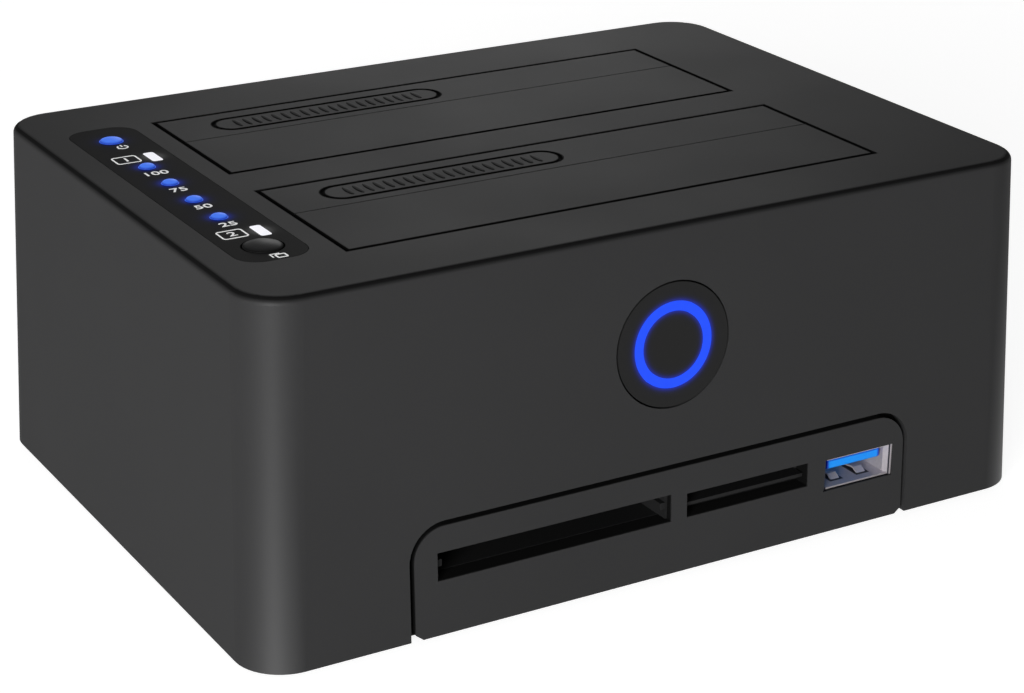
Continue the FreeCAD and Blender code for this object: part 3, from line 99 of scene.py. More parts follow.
def top_face(node):
    """Lowest and highest corner of a CAD node's highest flat face."""
    points = [v.co for v in nodes[node].data.vertices]
    level = max(p.z for p in points)
    rim = [p for p in points if p.z > level - SAME_HEIGHT]
    return [Vector(limit(p[i] for p in rim) for i in range(3)) for limit in (min, max)]


SCALE = (25, 50, 75, 100)
BLUE_LENSES = ["power_lens"] + [f"progress_lens_{n}" for n in SCALE]
WHITE_LENSES = ["source_lens", "target_lens"]
STRIP_TOP = top("status_strip")
print("strip top in mm:", round(1000 * STRIP_TOP, 2), "lenses:", len(BLUE_LENSES + WHITE_LENSES))


# %% [markdown]
# ## Shader maths as Python
#
# A finish is a small program that runs at each point of a surface. Written node by node it is hard
# to read. It could be drawn by hand in the node editor, but then no one sees how it was made. So
# this class wraps a node's output and lets Python's own operators add the Math nodes. Four of them
# also work with the number on the left, as in 1.0 - height.

# %% The wrapped socket
class Signal:
    """An output socket of a node tree that works in Python expressions."""

    def __init__(self, graph, socket):
        self.graph = graph
        self.socket = socket

    def maths(self, operation, first, second=None, clamp=False):
        """One Math node on one or two signals or numbers."""
        sockets = {0: first} if second is None else {0: first, 1: second}
        settings = {"operation": operation, "use_clamp": clamp}
        return self.graph.node("ShaderNodeMath", settings, sockets)

    def absolute(self):
        """Its size without its sign."""
        return self.maths("ABSOLUTE", self)

    def fraction(self):
        """What is left of it after its whole part."""
        return self.maths("FRACT", self)

    def larger(self, other):
        """The larger of two signals."""
        return self.maths("MAXIMUM", self, other)

    def clamped(self):
        """Itself, held between 0 and 1."""
        return self.maths("ADD", self, 0.0, clamp=True)


def operator(operation, swapped=False):
    """Method that turns a Python operator into one Math node."""
    def method(self, other):
        first, second = (other, self) if swapped else (self, other)
        return self.maths(operation, first, second)
    return method


OPERATORS = {"add": "ADD", "sub": "SUBTRACT", "mul": "MULTIPLY", "truediv": "DIVIDE",
             "pow": "POWER", "gt": "GREATER_THAN", "lt": "LESS_THAN"}
for word, operation in OPERATORS.items():
    setattr(Signal, f"__{word}__", operator(operation))
    if word in ("add", "sub", "mul", "truediv"):
        setattr(Signal, f"__r{word}__", operator(operation, swapped=True))
print("operators that add a node:", ", ".join(OPERATORS))


# %% [markdown]
# ## A tree that fills itself
#
# A second class holds the node tree. Its one general method adds any node: settings first, then
# the value or link of each socket. Shaders and Geometry Nodes have the same kind of tree, so the
# finishes and the patterns further down both build on it.

# %% The graph under construction
class Graph:
    """A node tree that is filled by expressions."""

    def __init__(self, tree):
        self.tree = tree
        self.tree.nodes.clear()

    def node(self, kind, settings=None, sockets=None, output=0):
        """Adds a node: its settings, then its sockets' values or links. Gives one of its outputs."""
        made = self.tree.nodes.new(kind)
        for key, value in (settings or {}).items():
            setattr(made, key, value)
        for key, value in (sockets or {}).items():
            for entry in value if isinstance(value, list) else [value]:
                if isinstance(entry, Signal):
                    self.tree.links.new(entry.socket, made.inputs[key])
                else:
                    made.inputs[key].default_value = entry
        return Signal(self, made.outputs[output]) if made.outputs else None

    def vector(self, x, y, z):
        """Vector of three signals or numbers."""
        return self.node("ShaderNodeCombineXYZ", None, {0: x, 1: y, 2: z})

    def parts(self, vector):
        """The X, Y and Z of a vector."""
        split = self.node("ShaderNodeSeparateXYZ", None, {0: vector})
        return [Signal(self, output) for output in split.socket.node.outputs]


print("graph helpers ready")


# %% [markdown]
# ## A finish
#
# A finish is the shader of one material. It starts from the place of each point on its piece, in
# metres, so that a grain of 0.3 mm is 0.3 mm on every piece and nothing needs to be unwrapped. It
# ends in a Principled shader, which is the one that an export can bake.

# %% The finish
class Finish(Graph):
    """The shader of a material or a world."""

    def __init__(self, owner, coordinates="Object"):
        owner.use_nodes = True
        super().__init__(owner.node_tree)
        self.owner = owner
        self.place = self.node("ShaderNodeTexCoord", output=coordinates)
        self.x, self.y, self.z = self.parts(self.place)

    def noise(self, size, detail=2.0, place=None):
        """Noise from 0 to 1 with features of a size in metres."""
        sockets = {"Vector": place or self.place, "Scale": 1.0 / size, "Detail": detail}
        return self.node("ShaderNodeTexNoise", {"noise_dimensions": "3D"}, sockets)

    def mix(self, factor, low, high):
        """Colour between low and high."""
        settings = {"data_type": "RGBA", "blend_type": "MIX"}
        return self.node("ShaderNodeMix", settings, {0: factor, 6: low, 7: high}, output=2)

    def bump(self, height, depth):
        """Normal tilted by a height signal that spans depth metres."""
        return self.node("ShaderNodeBump", None, {"Height": height, "Distance": depth, "Strength": 1.0})

    def rays(self, *kinds):
        """1 for rays of these kinds, such as Camera or Glossy, and 0 for the others."""
        outputs = self.node("ShaderNodeLightPath").socket.node.outputs
        return sum(Signal(self, outputs[f"Is {kind} Ray"]) for kind in kinds).clamped()

    def surface(self, **sockets):
        """Ends a material in a Principled shader. Underscores stand for spaces in socket names."""
        named = {key.replace("_", " "): value for key, value in sockets.items()}
        shader = self.node("ShaderNodeBsdfPrincipled", None, named)
        self.node("ShaderNodeOutputMaterial", None, {"Surface": shader})
        return self.owner


def material(name):
    """New finish with a material of its own."""
    return Finish(bpy.data.materials.new(name))


def grey(level):
    """Neutral colour at a linear level."""
    return (level, level, level, 1.0)


def opaque(colour, share=1.0):
    """Colour of three channels made darker by a share, with its alpha."""
    return tuple(share * channel for channel in colour) + (1.0,)


print("shader helpers ready")


# %% [markdown]
# ## Case plastic
#
# The case is injection-moulded ABS. The mould is spark-eroded, which leaves a fine, even grain:
# shallow pits a few tenths of a millimetre across that break every reflection up into a satin
# sheen. An image texture would repeat and blur, so the grain is noise with a size in metres. A slow
# drift in roughness keeps the large faces from looking computed. Light doesn't reach the gaps
# and rims, so a moulded finish can take a painted shade: a signal that is 1 where the colour is
# painted darkest. It can also take a polish: a signal for a thin gloss where hands rub it.

# %% Moulded finishes
SATIN = 0.14
CASE_LEVEL = 0.029
DRIFT_SIZE = 0.03
GAP_SHARE = 0.02
COAT_ROUGHNESS = 0.4
COOL = (1.0, 1.0, 1.02)


def moulded(name, level, shade=None, polish=None, grain=0.00028, depth=0.00001, rough=0.6):
    """Near-black moulded plastic: colour drift, satin grain and a slightly uneven gloss."""
    f = material(name)
    drift = f.noise(DRIFT_SIZE, detail=3.0)
    fine = f.noise(grain, detail=1.5)
    low, high = (opaque(COOL, level * share) for share in (0.9, 1.1))
    colour = f.mix((drift * 0.7 + fine * 0.3).clamped(), low, high)
    matt = rough - 0.05 + 0.1 * drift
    # painted shade: where the shade signal is 1, the colour is painted down to deep grey and turns matt
    if shade:
        dark = shade(f)
        colour = f.mix(dark, colour, grey(level * GAP_SHARE))
        matt = matt.larger(dark)
    shine = polish(f) if polish else 0.0
    return f.surface(Base_Color=colour, Roughness=matt, Normal=f.bump(fine, depth), Specular_IOR_Level=SATIN,
                     Coat_Weight=shine, Coat_Roughness=COAT_ROUGHNESS)


base_plastic = moulded("base_plastic", 0.024, grain=0.0004, depth=0.00002)
well_plastic = moulded("well_plastic", 0.028, grain=0.0005, rough=0.5)
socket_plastic = moulded("socket_plastic", 0.014, grain=0.0003, depth=0.000006, rough=0.45)
chip_resin = moulded("chip_resin", 0.014, grain=0.0002, depth=0.000006, rough=0.55)
plunger_plastic = moulded("plunger_plastic", 0.5, grain=0.0004, depth=0.000004, rough=0.45)
plug_plastic = moulded("plug_plastic", 0.6, grain=0.0004, depth=0.000004, rough=0.5)
print("moulded finishes:", base_plastic.name, well_plastic.name, socket_plastic.name)


# %% [markdown]
# ## Where the lids end
#
# Each lid lies in its opening with a gap of a few tenths of a millimetre all round, and a
# round-ended outline is engraved on it. To shade these, a finish has to know how far a point is
# from a lid's edge. The edges are measured from the lids' own top faces. The distance to a
# rectangle is the larger of the distances across it and along it.

# %% Edges of the lids
LIDS = {which: top_face(f"bay_flap_{which}") for which in ("front", "rear")}
TOP = LIDS["front"][1].z
LABEL_MIDDLE = Vector((-0.0198, -0.00675, 0.0))
LABEL_STRAIGHT = 0.0382
LABEL_RADIUS = 0.00365


def label_centre(which):
    """Middle of the round-ended outline on a lid, set from the lid's back edge."""
    low, high = LIDS[which]
    return Vector(((low.x + high.x) / 2, high.y, TOP)) + LABEL_MIDDLE


def outside_lid(f, which):
    """Distance in metres outside a lid's edge, negative on the lid."""
    low, high = LIDS[which]
    middle_x, middle_y = ((a + b) / 2 for a, b in zip(low[:2], high[:2]))
    across = (f.x - middle_x).absolute() - (high.x - middle_x)
    return across.larger((f.y - middle_y).absolute() - (high.y - middle_y))


print("lids in mm:", {k: [round(1000 * v, 1) for v in high - low] for k, (low, high) in LIDS.items()})


# %% [markdown]
# ## Shades of the case
#
# Where two mouldings meet, the gap is deeper than it is wide, so it reads as a black line with a
# soft edge. The rounded rim of the top turns away from the lamps and darkens too. Ambient
# occlusion could find such places, but it is slow and noisy, so each shade is written from
# distances. The case's upright corners are rubbed glossy, and more so low down, where hands lift it.

# %% Shades and polish of the case
RIM = 0.0013
RIM_LINE = 0.00008
RIM_DARKNESS = 0.9
SOFT_EDGE = 0.0003
GAP = 0.0008
CORNER = 0.0083
POLISH_GAIN = 3.0
POLISH_FADE = 0.65


def case_shade(f):
    """Darkest just under the top face, fading down the rounded rim, and dark round the lids."""
    depth = TOP - f.z
    fade = 1.0 - ((depth - RIM * 0.25) / (RIM * 0.45)).clamped()
    rim = (depth / RIM_LINE).clamped() * fade * RIM_DARKNESS
    front, rear = (1.0 - ((outside_lid(f, which) - GAP) / SOFT_EDGE).clamped() for which in LIDS)
    return rim.larger(front.larger(rear))


def corner_polish(f):
    """Gloss on the case's upright corners, most of it low down and on their front half."""
    high = cad_box[1]
    side, end = (((across.absolute() - limit) / CORNER + 1.0).larger(0.0)
                 for across, limit in ((f.x, high.x), (f.y, high.y)))
    return (side * end * end * end * POLISH_GAIN).clamped() * (1.0 - POLISH_FADE * f.z / high.z)


print("shades of the case ready")


# %% [markdown]
# ## Shades of the lids, the cap and the panel
#
# A lid gets a painted shade at its edge, on its underside and in its engraved outline, which is a
# ring of even width round a straight line. The copy button gets a painted shade where its dome dips
# into the strip. The panel of slots gets a painted shade behind its sloping front face, so its slots
# look deep.

# %% Other shades
LID_SKIN = 0.0001
LID_FADE = 0.0002
LINE_INSET = 0.0003
LINE_HALF = 0.00045
CAP_RIM = 0.00015
CAP_FADE = 0.0003
CAP_DARKNESS = 0.8
PANEL_SKIN = 0.0001
PANEL_FADE = 0.0003


def lid_shade(which):
    """Shade of one lid: its edges, its underside, and the outline on it."""
    centre = label_centre(which)

    def shade(f):
        below = ((TOP - f.z - LID_SKIN) / LID_FADE).clamped()
        edge = ((outside_lid(f, which) + SOFT_EDGE) / SOFT_EDGE).clamped()
        along = ((f.x - centre.x).absolute() - LABEL_STRAIGHT / 2).larger(0.0)
        across = f.y - centre.y
        ring = ((along * along + across * across) ** 0.5 - LABEL_RADIUS + LINE_INSET).absolute()
        outline = 1.0 - ((ring - LINE_HALF) / LID_FADE).clamped()
        return below.larger(edge).larger(outline)

    return shade


def cap_shade(f):
    """Painted shade on the low rim of the domed copy button."""
    return (1.0 - (f.z - STRIP_TOP - CAP_RIM) / CAP_FADE).clamped() * CAP_DARKNESS


def behind_front(f):
    """Painted shade on what lies deeper than the sloping front face of the port panel."""
    points = [v.co for v in nodes["front_port_panel"].data.vertices]
    low = min(p.z for p in points)
    high = max(p.z for p in points if p.y < min(q.y for q in points) + 0.001)
    foot = min(p.y for p in points if p.z < low + 0.0001)
    head = min(p.y for p in points if p.z > high - 0.0001)
    slope = (head - foot) / (high - low)
    return ((f.y - foot - (f.z - low) * slope - PANEL_SKIN) / PANEL_FADE).clamped()


print("shades of the lids, cap and panel ready")


# %% [markdown]
# ## Finishes with a shade
#
# Lids, panel and case are moulded from one plastic, so they share its level and differ only in
# their painted shade. The ribs' colour is painted deeper black for the shade that each stands in
# from the next, and the copy button's cap is a little glossier from use.

# %% Shaded finishes
case_plastic = moulded("case_plastic", CASE_LEVEL, case_shade, corner_polish)
lid_plastic = {which: moulded(f"lid_plastic_{which}", CASE_LEVEL, lid_shade(which)) for which in LIDS}
# painted shade: the ribs' colour is darkened for the shade between them
rib_plastic = moulded("rib_plastic", CASE_LEVEL * 0.12)
panel_plastic = moulded("panel_plastic", CASE_LEVEL, behind_front)
cap_plastic = moulded("cap_plastic", CASE_LEVEL * 0.8, cap_shade, rough=0.45)
print("case finishes:", case_plastic.name, panel_plastic.name, cap_plastic.name)


# %% [markdown]
# ## Lit pieces
#
# A lens is clear plastic over an LED. It could be real glass with a lamp below it, but that is
# noisy and can't be baked. So it glows by itself, with a slight cloud. Most of a lens's colour is
# its own light, so its base colour is kept deep.

# %% Lenses and the light ring
def lit(name, colour, strength=1.0, depth=0.15):
    """Clear plastic with an LED behind it, a little uneven like a real light pipe."""
    f = material(name)
    cloud = f.noise(0.0012, detail=1.0)
    weak, deep = (opaque(colour, share) for share in (0.85, depth))
    glow = f.mix(cloud, weak, opaque(colour))
    return f.surface(Base_Color=deep, Roughness=0.35 + 0.1 * cloud, Specular_IOR_Level=SATIN,
                     Emission_Color=glow, Emission_Strength=strength)


ring_light = lit("ring_light", (0.018, 0.08, 0.95))
blue_lens = lit("blue_lens", (0.032, 0.125, 0.75))
white_lens = lit("white_lens", (0.85, 0.85, 0.9))
print("lit finishes:", ring_light.name, blue_lens.name, white_lens.name)


# %% [markdown]
# ## Domed lens caps
#
# The blue lenses end in low domes. The light comes up the middle, so a dome is brightest at its
# crown and deep blue at its rim. The finish reads the height above the strip, which is one rule for
# domes of every size, unlike the distance from each lens.

# %% The domed lens caps
LENS_RISE = 0.0006


def lens_cap_finish():
    """Blue lens that is bright over its LED and deep blue at its low rim."""
    f = material("lens_cap")
    cloud = f.noise(0.0008, detail=1.0)
    height = ((f.z - STRIP_TOP) / LENS_RISE).clamped()
    core = ((height - 0.1) / 0.5).clamped()
    bright = f.mix(cloud, (0.048, 0.15, 0.7, 1.0), (0.062, 0.18, 0.8, 1.0))
    glow = f.mix(core, (0.006, 0.02, 0.28, 1.0), bright)
    return f.surface(Base_Color=(0.01, 0.03, 0.15, 1.0), Roughness=0.4 + 0.1 * cloud,
                     Specular_IOR_Level=SATIN, Emission_Color=glow, Emission_Strength=1.0)


lens_cap = lens_cap_finish()
print("lens cap ready")


# %% [markdown]
# ## The status strip
#
# The strip is a dark printed film with holes for the lenses. Some of each lens's light spills onto
# it. The spill is painted into the film's own finish, as light that fades with the distance from
# each lens, so that it stays on the film from every side. A small lamp in each lens would do it
# too, but seven lamps slow each render down.

# %% The strip's film
SPILL_REACH = 0.0019


def spill(f, centre):
    """Light that fades from a lens over about the reach, in the XY plane."""
    dx = f.x - centre.x
    dy = f.y - centre.y
    return 1.0 / (1.0 + ((dx * dx + dy * dy) / SPILL_REACH ** 2) ** 3)


def status_strip_finish():
    """Dark printed film with the spill of seven lenses."""
    f = material("strip_film")
    blue = sum(spill(f, middle(n)) for n in BLUE_LENSES)
    white = sum(spill(f, middle(n)) for n in WHITE_LENSES)
    glow = f.mix(blue.clamped(), grey(0.0), (0.004, 0.014, 0.2, 1.0))
    glow = f.mix(white.clamped(), glow, grey(0.05))
    fine = f.noise(0.0003)
    return f.surface(Base_Color=f.mix(fine, grey(0.0055), grey(0.0065)), Roughness=0.6 + 0.06 * fine,
                     Emission_Color=glow, Emission_Strength=1.0, Specular_IOR_Level=0.05)


strip_film = status_strip_finish()
print("strip film:", len(strip_film.node_tree.nodes), "nodes")


# %% [markdown]
# ## The power button
#
# The button is a smooth black disc with a clear ring set in it. Blue LEDs behind it light the ring,
# and the light that the disc catches on both sides is painted onto it as a glow. The distance from
# the middle of the ring's width gives that painted glow: even over the ring, then falling off fast.

# %% The button's plastic
RING_WIDTH = 0.00165
ring_low, ring_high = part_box("power_light_ring")
RING_RADIUS = (ring_high.x - ring_low.x) / 2
print("light ring radius in mm:", round(1000 * RING_RADIUS, 2))


def button_finish():
    """Smooth black disc with a painted glow of blue spill on both sides of its light ring."""
    f = material("button_plastic")
    centre = middle("power_light_ring")
    dx = f.x - centre.x
    dz = f.z - centre.z
    radius = (dx * dx + dz * dz) ** 0.5
    # painted light: the disc glows with the ring's blue spill, fading with distance
    away = (radius - (RING_RADIUS - RING_WIDTH / 2)).absolute() / (RING_WIDTH * 0.68)
    glow = (1.0 / (1.0 + away ** 7.0)).clamped()
    fine = f.noise(0.0003)
    return f.surface(Base_Color=f.mix(fine, grey(0.013), grey(0.015)), Roughness=0.5 + 0.05 * fine,
                     Normal=f.bump(fine, 0.000004), Specular_IOR_Level=SATIN,
                     Emission_Color=f.mix(glow, grey(0.0), (0.003, 0.012, 0.3, 1.0)), Emission_Strength=1.0)


button_plastic = button_finish()
print("button plastic ready")


# %% [markdown]
# ## Metals
#
# Springs, pins and socket shells are drawn or stamped from steel, so their scratches run along the
# part. Noise that is stretched along one axis gives such scratches on any shape. Plain even noise
# would look cast. Socket shells are tinned, contacts are gilded, and the tall capacitors are
# aluminium cans.

# %% Metals
def metal(name, colour, rough, grain=(0.0001, 0.002, 0.002)):
    """Metal with fine scratches that run along one direction."""
    f = material(name)
    scale = f.node("ShaderNodeMapping", {"vector_type": "POINT"},
                   {"Vector": f.place, "Scale": tuple(1.0 / g for g in grain)})
    streak = f.noise(1.0, detail=2.0, place=scale)
    return f.surface(Base_Color=f.mix(streak, opaque(colour, 0.85), opaque(colour)), Metallic=1.0,
                     Roughness=rough - 0.05 + 0.12 * streak, Normal=f.bump(streak, 0.000002))


spring_steel = metal("spring_steel", (0.55, 0.55, 0.56), 0.3)
screw_steel = metal("screw_steel", (0.16, 0.16, 0.17), 0.4)
tinned_steel = metal("tinned_steel", (0.6, 0.58, 0.62), 0.4, grain=(0.002, 0.0002, 0.002))
contact_gold = metal("contact_gold", (0.85, 0.62, 0.28), 0.25)
can_aluminium = metal("can_aluminium", (0.72, 0.72, 0.73), 0.3, grain=(0.001, 0.001, 0.0001))
print("metals:", spring_steel.name, tinned_steel.name, contact_gold.name, can_aluminium.name)


# %% [markdown]
# ## The shell of the front socket
#
# The USB shell is one folded sheet. Two leaf springs are cut out of its floor, so dark windows
# show round them, and its mouth is bent outward on each side. The CAD shell has the springs and
# the lips. The windows and the fold line are only seen as dark places, so the finish paints shade
# for them, and it paints shade over the edge of the left lip too.

# %% Folded shell with spring windows
WINDOW_OFFSET = 0.00279
WINDOW_HALF = 0.0014
WINDOW_START = 0.0019
WINDOW_END = 0.009
SHEET = 0.00033
LIP_WIDTH = 0.0009
LIP_DEPTH = 0.0011
FOLD_INSET = 0.00045
FOLD_HALF = 0.00009
FOLD_DEPTH = 0.0012


def socket_shell_finish():
    """Dull tin on the folded shell, with painted shade for the windows that its two leaf springs are cut
    from, its fold and its left lip.
    """
    f = material("socket_shell")
    low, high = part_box("usb_a_shell")
    across = ((f.x - (low.x + high.x) / 2).absolute() - WINDOW_OFFSET).absolute()
    along = f.y - low.y
    floor_level = f.z < low.z + SHEET
    window = floor_level * (across < WINDOW_HALF) * (along > WINDOW_START) * (along < WINDOW_END)
    left_lip = (f.x < low.x + LIP_WIDTH) * (along < LIP_DEPTH)
    fold = ((f.x - high.x + FOLD_INSET).absolute() < FOLD_HALF) * (along < FOLD_DEPTH)
    # painted shade: windows, fold line and left lip are painted near black and less metallic
    dark = window.larger(left_lip).larger(fold)
    streak = f.noise(0.0006, detail=2.0)
    colour = f.mix(streak, (0.47, 0.44, 0.46, 1.0), (0.6, 0.56, 0.58, 1.0))
    return f.surface(Base_Color=f.mix(dark, colour, (0.012, 0.012, 0.02, 1.0)), Metallic=(1.0 - dark) * 0.6,
                     Roughness=0.38 + 0.1 * streak, Normal=f.bump(streak, 0.000002))


socket_shell = socket_shell_finish()
print("front socket shell:", len(socket_shell.node_tree.nodes), "nodes")


# %% [markdown]
# ## Rubber
#
# The feet are soft moulded rubber. It has almost no gloss and holds dust, so the colour follows a
# broad noise and the surface has fine pits.

# %% Feet
def rubber_finish():
    """Matt black rubber, dusty and finely pitted."""
    f = material("rubber")
    dust = f.noise(0.0015, detail=4.0)
    pits = f.noise(0.0003)
    return f.surface(Base_Color=f.mix(dust, grey(0.012), grey(0.03)), Roughness=0.8 + 0.1 * dust,
                     Normal=f.bump(pits, 0.00003))


rubber = rubber_finish()
print("rubber ready")


# %% [markdown]
# ## Circuit boards
#
# A board is green solder mask over copper, and its traces show through as slightly lighter lines.
# Real traces are laid out one by one. Here they run on the usual grid of a tenth of an inch, along
# one way or the other from patch to patch, which is enough for boards that are seen through slots.

# %% Boards
GRID = 0.00254
TRACE_SHARE = 0.28
PATCH_SIZE = 0.012


def board_finish():
    """Green solder mask with faint copper traces on a grid."""
    f = material("board_green")
    rows = (f.y / GRID).fraction()
    columns = (f.x / GRID).fraction()
    patches = f.noise(PATCH_SIZE, detail=0.0) > 0.5
    trace = patches * (rows < TRACE_SHARE) + (1.0 - patches) * (columns < TRACE_SHARE)
    mask = f.noise(0.0006)
    colour = f.mix(trace * 0.7, (0.006, 0.07, 0.03, 1.0), (0.02, 0.16, 0.06, 1.0))
    return f.surface(Base_Color=colour, Roughness=0.3 + 0.1 * mask,
                     Normal=f.bump(trace + mask * 0.2, 0.00002))


board_green = board_finish()
led_resin = lit("led_resin", (0.9, 0.9, 0.8), 0.05, depth=0.6)
print("board finishes:", board_green.name, led_resin.name)


# %% [markdown]
# ## The blue tongue
#
# The tongue that carries the contacts is moulded in bright blue nylon. Its edges lie in the
# shell's shade, so their colour gets a painted shade of deeper blue, and the block behind the
# contacts gets a painted shade that makes it nearly black. A faint painted glow keeps the narrow
# tongue readable in its dark socket.

# %% Tongue
TONGUE_EDGE = 0.0005
TONGUE_FADE = 0.0004
ROOT_FADE = 0.0002


def blue_tongue_finish():
    """Bright blue nylon, with painted shade: deeper blue at the tongue's edges and dark at the block behind
    it; a faint painted glow on the rest.
    """
    f = material("tongue_blue")
    flow = f.noise(0.002, detail=2.0)
    points = [v.co for v in nodes["usb_a_tongue"].data.vertices]
    tip = [p for p in points if p.y < min(q.y for q in points) + 0.001]
    right, upper = (max(p[i] for p in tip) for i in (0, 2))
    centre = middle("usb_a_tongue").x
    side = ((f.x - centre).absolute() - right + centre + TONGUE_EDGE) / TONGUE_FADE
    edge = side.larger((f.z - upper + TONGUE_EDGE) / TONGUE_FADE).clamped()
    root = ((f.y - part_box("usb_a_contacts")[1].y) / ROOT_FADE).clamped()
    colour = f.mix(flow, (0.002, 0.22, 0.8, 1.0), (0.002, 0.27, 0.9, 1.0))
    # painted shade at the edges and the root, and a painted glow on the rest of the tongue
    colour = f.mix(edge, colour, (0.001, 0.03, 0.5, 1.0))
    colour = f.mix(root, colour, (0.02, 0.022, 0.03, 1.0))
    glow = f.mix(edge.larger(root), (0.001, 0.04, 0.11, 1.0), grey(0.0))
    return f.surface(Base_Color=colour, Roughness=0.4 + 0.08 * flow,
                     Emission_Color=glow, Emission_Strength=1.0)


tongue_blue = blue_tongue_finish()
print("tongue:", len(tongue_blue.node_tree.nodes), "nodes")


# %% [markdown]
# ## Flat cables
#
# Thin white cables join the small boards to the main board: round wires side by side in one skin.
# The CAD cable is a plain band, so the wires are a row of ridges in its bump, and a painted
# shade darkens its colour between them.

# %% Cable
WIRE_PITCH = 0.001


def flat_cable_finish():
    """White flat cable of round wires side by side, with painted shade between the wires."""
    f = material("flat_cable")
    wires = (f.y / WIRE_PITCH).fraction()
    ridge = 1.0 - (wires - 0.5).absolute() * 2.0
    # painted shade: the colour is darker in the valleys between the wires
    return f.surface(Base_Color=f.mix(ridge, grey(0.45), grey(0.75)), Roughness=0.45 + 0.1 * ridge,
                     Normal=f.bump(ridge, 0.0002))


flat_cable = flat_cable_finish()
print("flat cable ready")


# %% [markdown]
# ## Dressing the CAD pieces
#
# One table says which finish each slot of the record takes. Every node looks its slot up, so a
# piece can't be left with the plain material that it was packed with. Picking finishes by hand would
# work too, until a node is added. A few nodes then get a variant of their slot's finish, shaded for
# the gaps round them.

# %% Give each node its finish
FINISHES = {
    "case_plastic": case_plastic,
    "base_plastic": base_plastic,
    "well_plastic": well_plastic,
    "button_plastic": button_plastic,
    "strip_film": strip_film,
    "ring_glow": ring_light,
    "blue_glow": blue_lens,
    "white_glow": white_lens,
    "rubber": rubber,
    "steel": spring_steel,
    "screw_steel": screw_steel,
    "socket_metal": tinned_steel,
    "board_green": board_green,
    "chip_black": chip_resin,
    "contact_gold": contact_gold,
    "usb_blue": tongue_blue,
    "socket_plastic": socket_plastic,
    "plunger_plastic": plunger_plastic,
    "can_metal": can_aluminium,
    "led_white": led_resin,
    "cable_white": flat_cable,
}

VARIANTS = {
    "bay_flap_front": lid_plastic["front"],
    "bay_flap_rear": lid_plastic["rear"],
    "front_port_panel": panel_plastic,
    "clone_button": cap_plastic,
    "cable_plugs": plug_plastic,
    "usb_a_shell": socket_shell,
}

for part in frame["record"]["subparts"]:
    dress = nodes[part["node"]].data.materials
    dress.clear()
    dress.append(VARIANTS.get(part["node"], FINISHES[part["material_slot"]]))


# %% [markdown]
# ## Pieces that ride on a body
#
# A piece that is made here has to move with the body it sits on: the ribs turn with their lid, the
# numbers stay on the case. Each piece is drawn in its place at rest, stays unturned, and is then
# told which body carries it.

# %% The piece
def linked(name, data):
    """Object in the scene that shows a mesh, curve, light or camera."""
    made = bpy.data.objects.new(name, data)
    bpy.context.scene.collection.objects.link(made)
    return made


def plain_mesh(draft):
    """Mesh of a draft object with its modifiers applied. The draft is then removed."""
    mesh = bpy.data.meshes.new_from_object(draft.evaluated_get(bpy.context.evaluated_depsgraph_get()))
    draft.modifiers.clear()
    bpy.data.objects.remove(draft)
    return mesh


def piece(name, mesh, body):
    """Finished piece that rides on a body."""
    made = linked(name, mesh)
    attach(made, body)
    return made


print("piece helpers ready")


# %% [markdown]
# ## Patterns that repeat or follow a rule
#
# The coil of a lid spring, a row of ribs, the lines of a printed mark and four equal screws each
# follow a rule, so each is a Geometry Nodes tree with its sizes as named inputs. A tree starts
# from points or edges that say where its shapes go, and one tree serves every copy. The result is
# turned into a plain mesh, because instances and live modifiers don't survive an export.

# %% The pattern
class Pattern(Graph):
    """A Geometry Nodes tree with named sizes, which grows a mesh from points or edges."""

    def __init__(self, name, finish, **sizes):
        super().__init__(bpy.data.node_groups.new(name, "GeometryNodeTree"))
        self.finish = finish
        face = self.tree.interface
        face.new_socket("Start", in_out="INPUT", socket_type="NodeSocketGeometry")
        for size, value in sizes.items():
            kind = "NodeSocketInt" if isinstance(value, int) else "NodeSocketFloat"
            face.new_socket(size, in_out="INPUT", socket_type=kind).default_value = value
        face.new_socket("Mesh", in_out="OUTPUT", socket_type="NodeSocketGeometry")
        given = self.node("NodeGroupInput").socket.node.outputs
        self.start = Signal(self, given["Start"])
        self.sizes = {size: Signal(self, given[size]) for size in sizes}

    def copies(self, shape, points, scale=(1.0, 1.0, 1.0)):
        """Copies of a shape on points."""
        return self.node("GeometryNodeInstanceOnPoints", None,
                         {"Points": points, "Instance": shape, "Scale": scale})

    def end(self, mesh, smooth):
        """Ends the tree in real geometry with its shading and finish."""
        real = self.node("GeometryNodeRealizeInstances", None, {0: mesh})
        shaded = self.node("GeometryNodeSetShadeSmooth", None, {"Geometry": real, "Shade Smooth": smooth})
        coated = self.node("GeometryNodeSetMaterial", None, {"Geometry": shaded, "Material": self.finish})
        self.node("NodeGroupOutput", None, {0: coated})
        return self

    def grow(self, name, points, edges=(), place=None, **sizes):
        """Plain mesh grown from points and edges, with some sizes set and its place applied."""
        start = bpy.data.meshes.new(name + "_start")
        start.from_pydata(points, edges, [])
        draft = linked(name + "_draft", start)
        growth = draft.modifiers.new("growth", "NODES")
        growth.node_group = self.tree
        for item in self.tree.interface.items_tree:
            if item.name in sizes:
                growth[item.identifier] = sizes[item.name]
        mesh = plain_mesh(draft)
        mesh.name = name
        mesh.transform(place or Matrix())
        return mesh


print("pattern helpers ready")


# %% [markdown]
# ## Lid springs
#
# Each lid is closed by a torsion spring: a close coil of steel wire round the hinge pin, one leg
# down the wall of the drive well and one leg under the lid. The CAD solid is a grooved sleeve with
# two rods, which is enough for its room. Here the wire follows a real helix. It could be a screw
# modifier on a circle, but a curve with a round profile keeps the wire round at any rise.

# %% Spring wire
WIRE = 0.00022
COIL_RADIUS = 0.00115
COIL_RISE = 0.0015


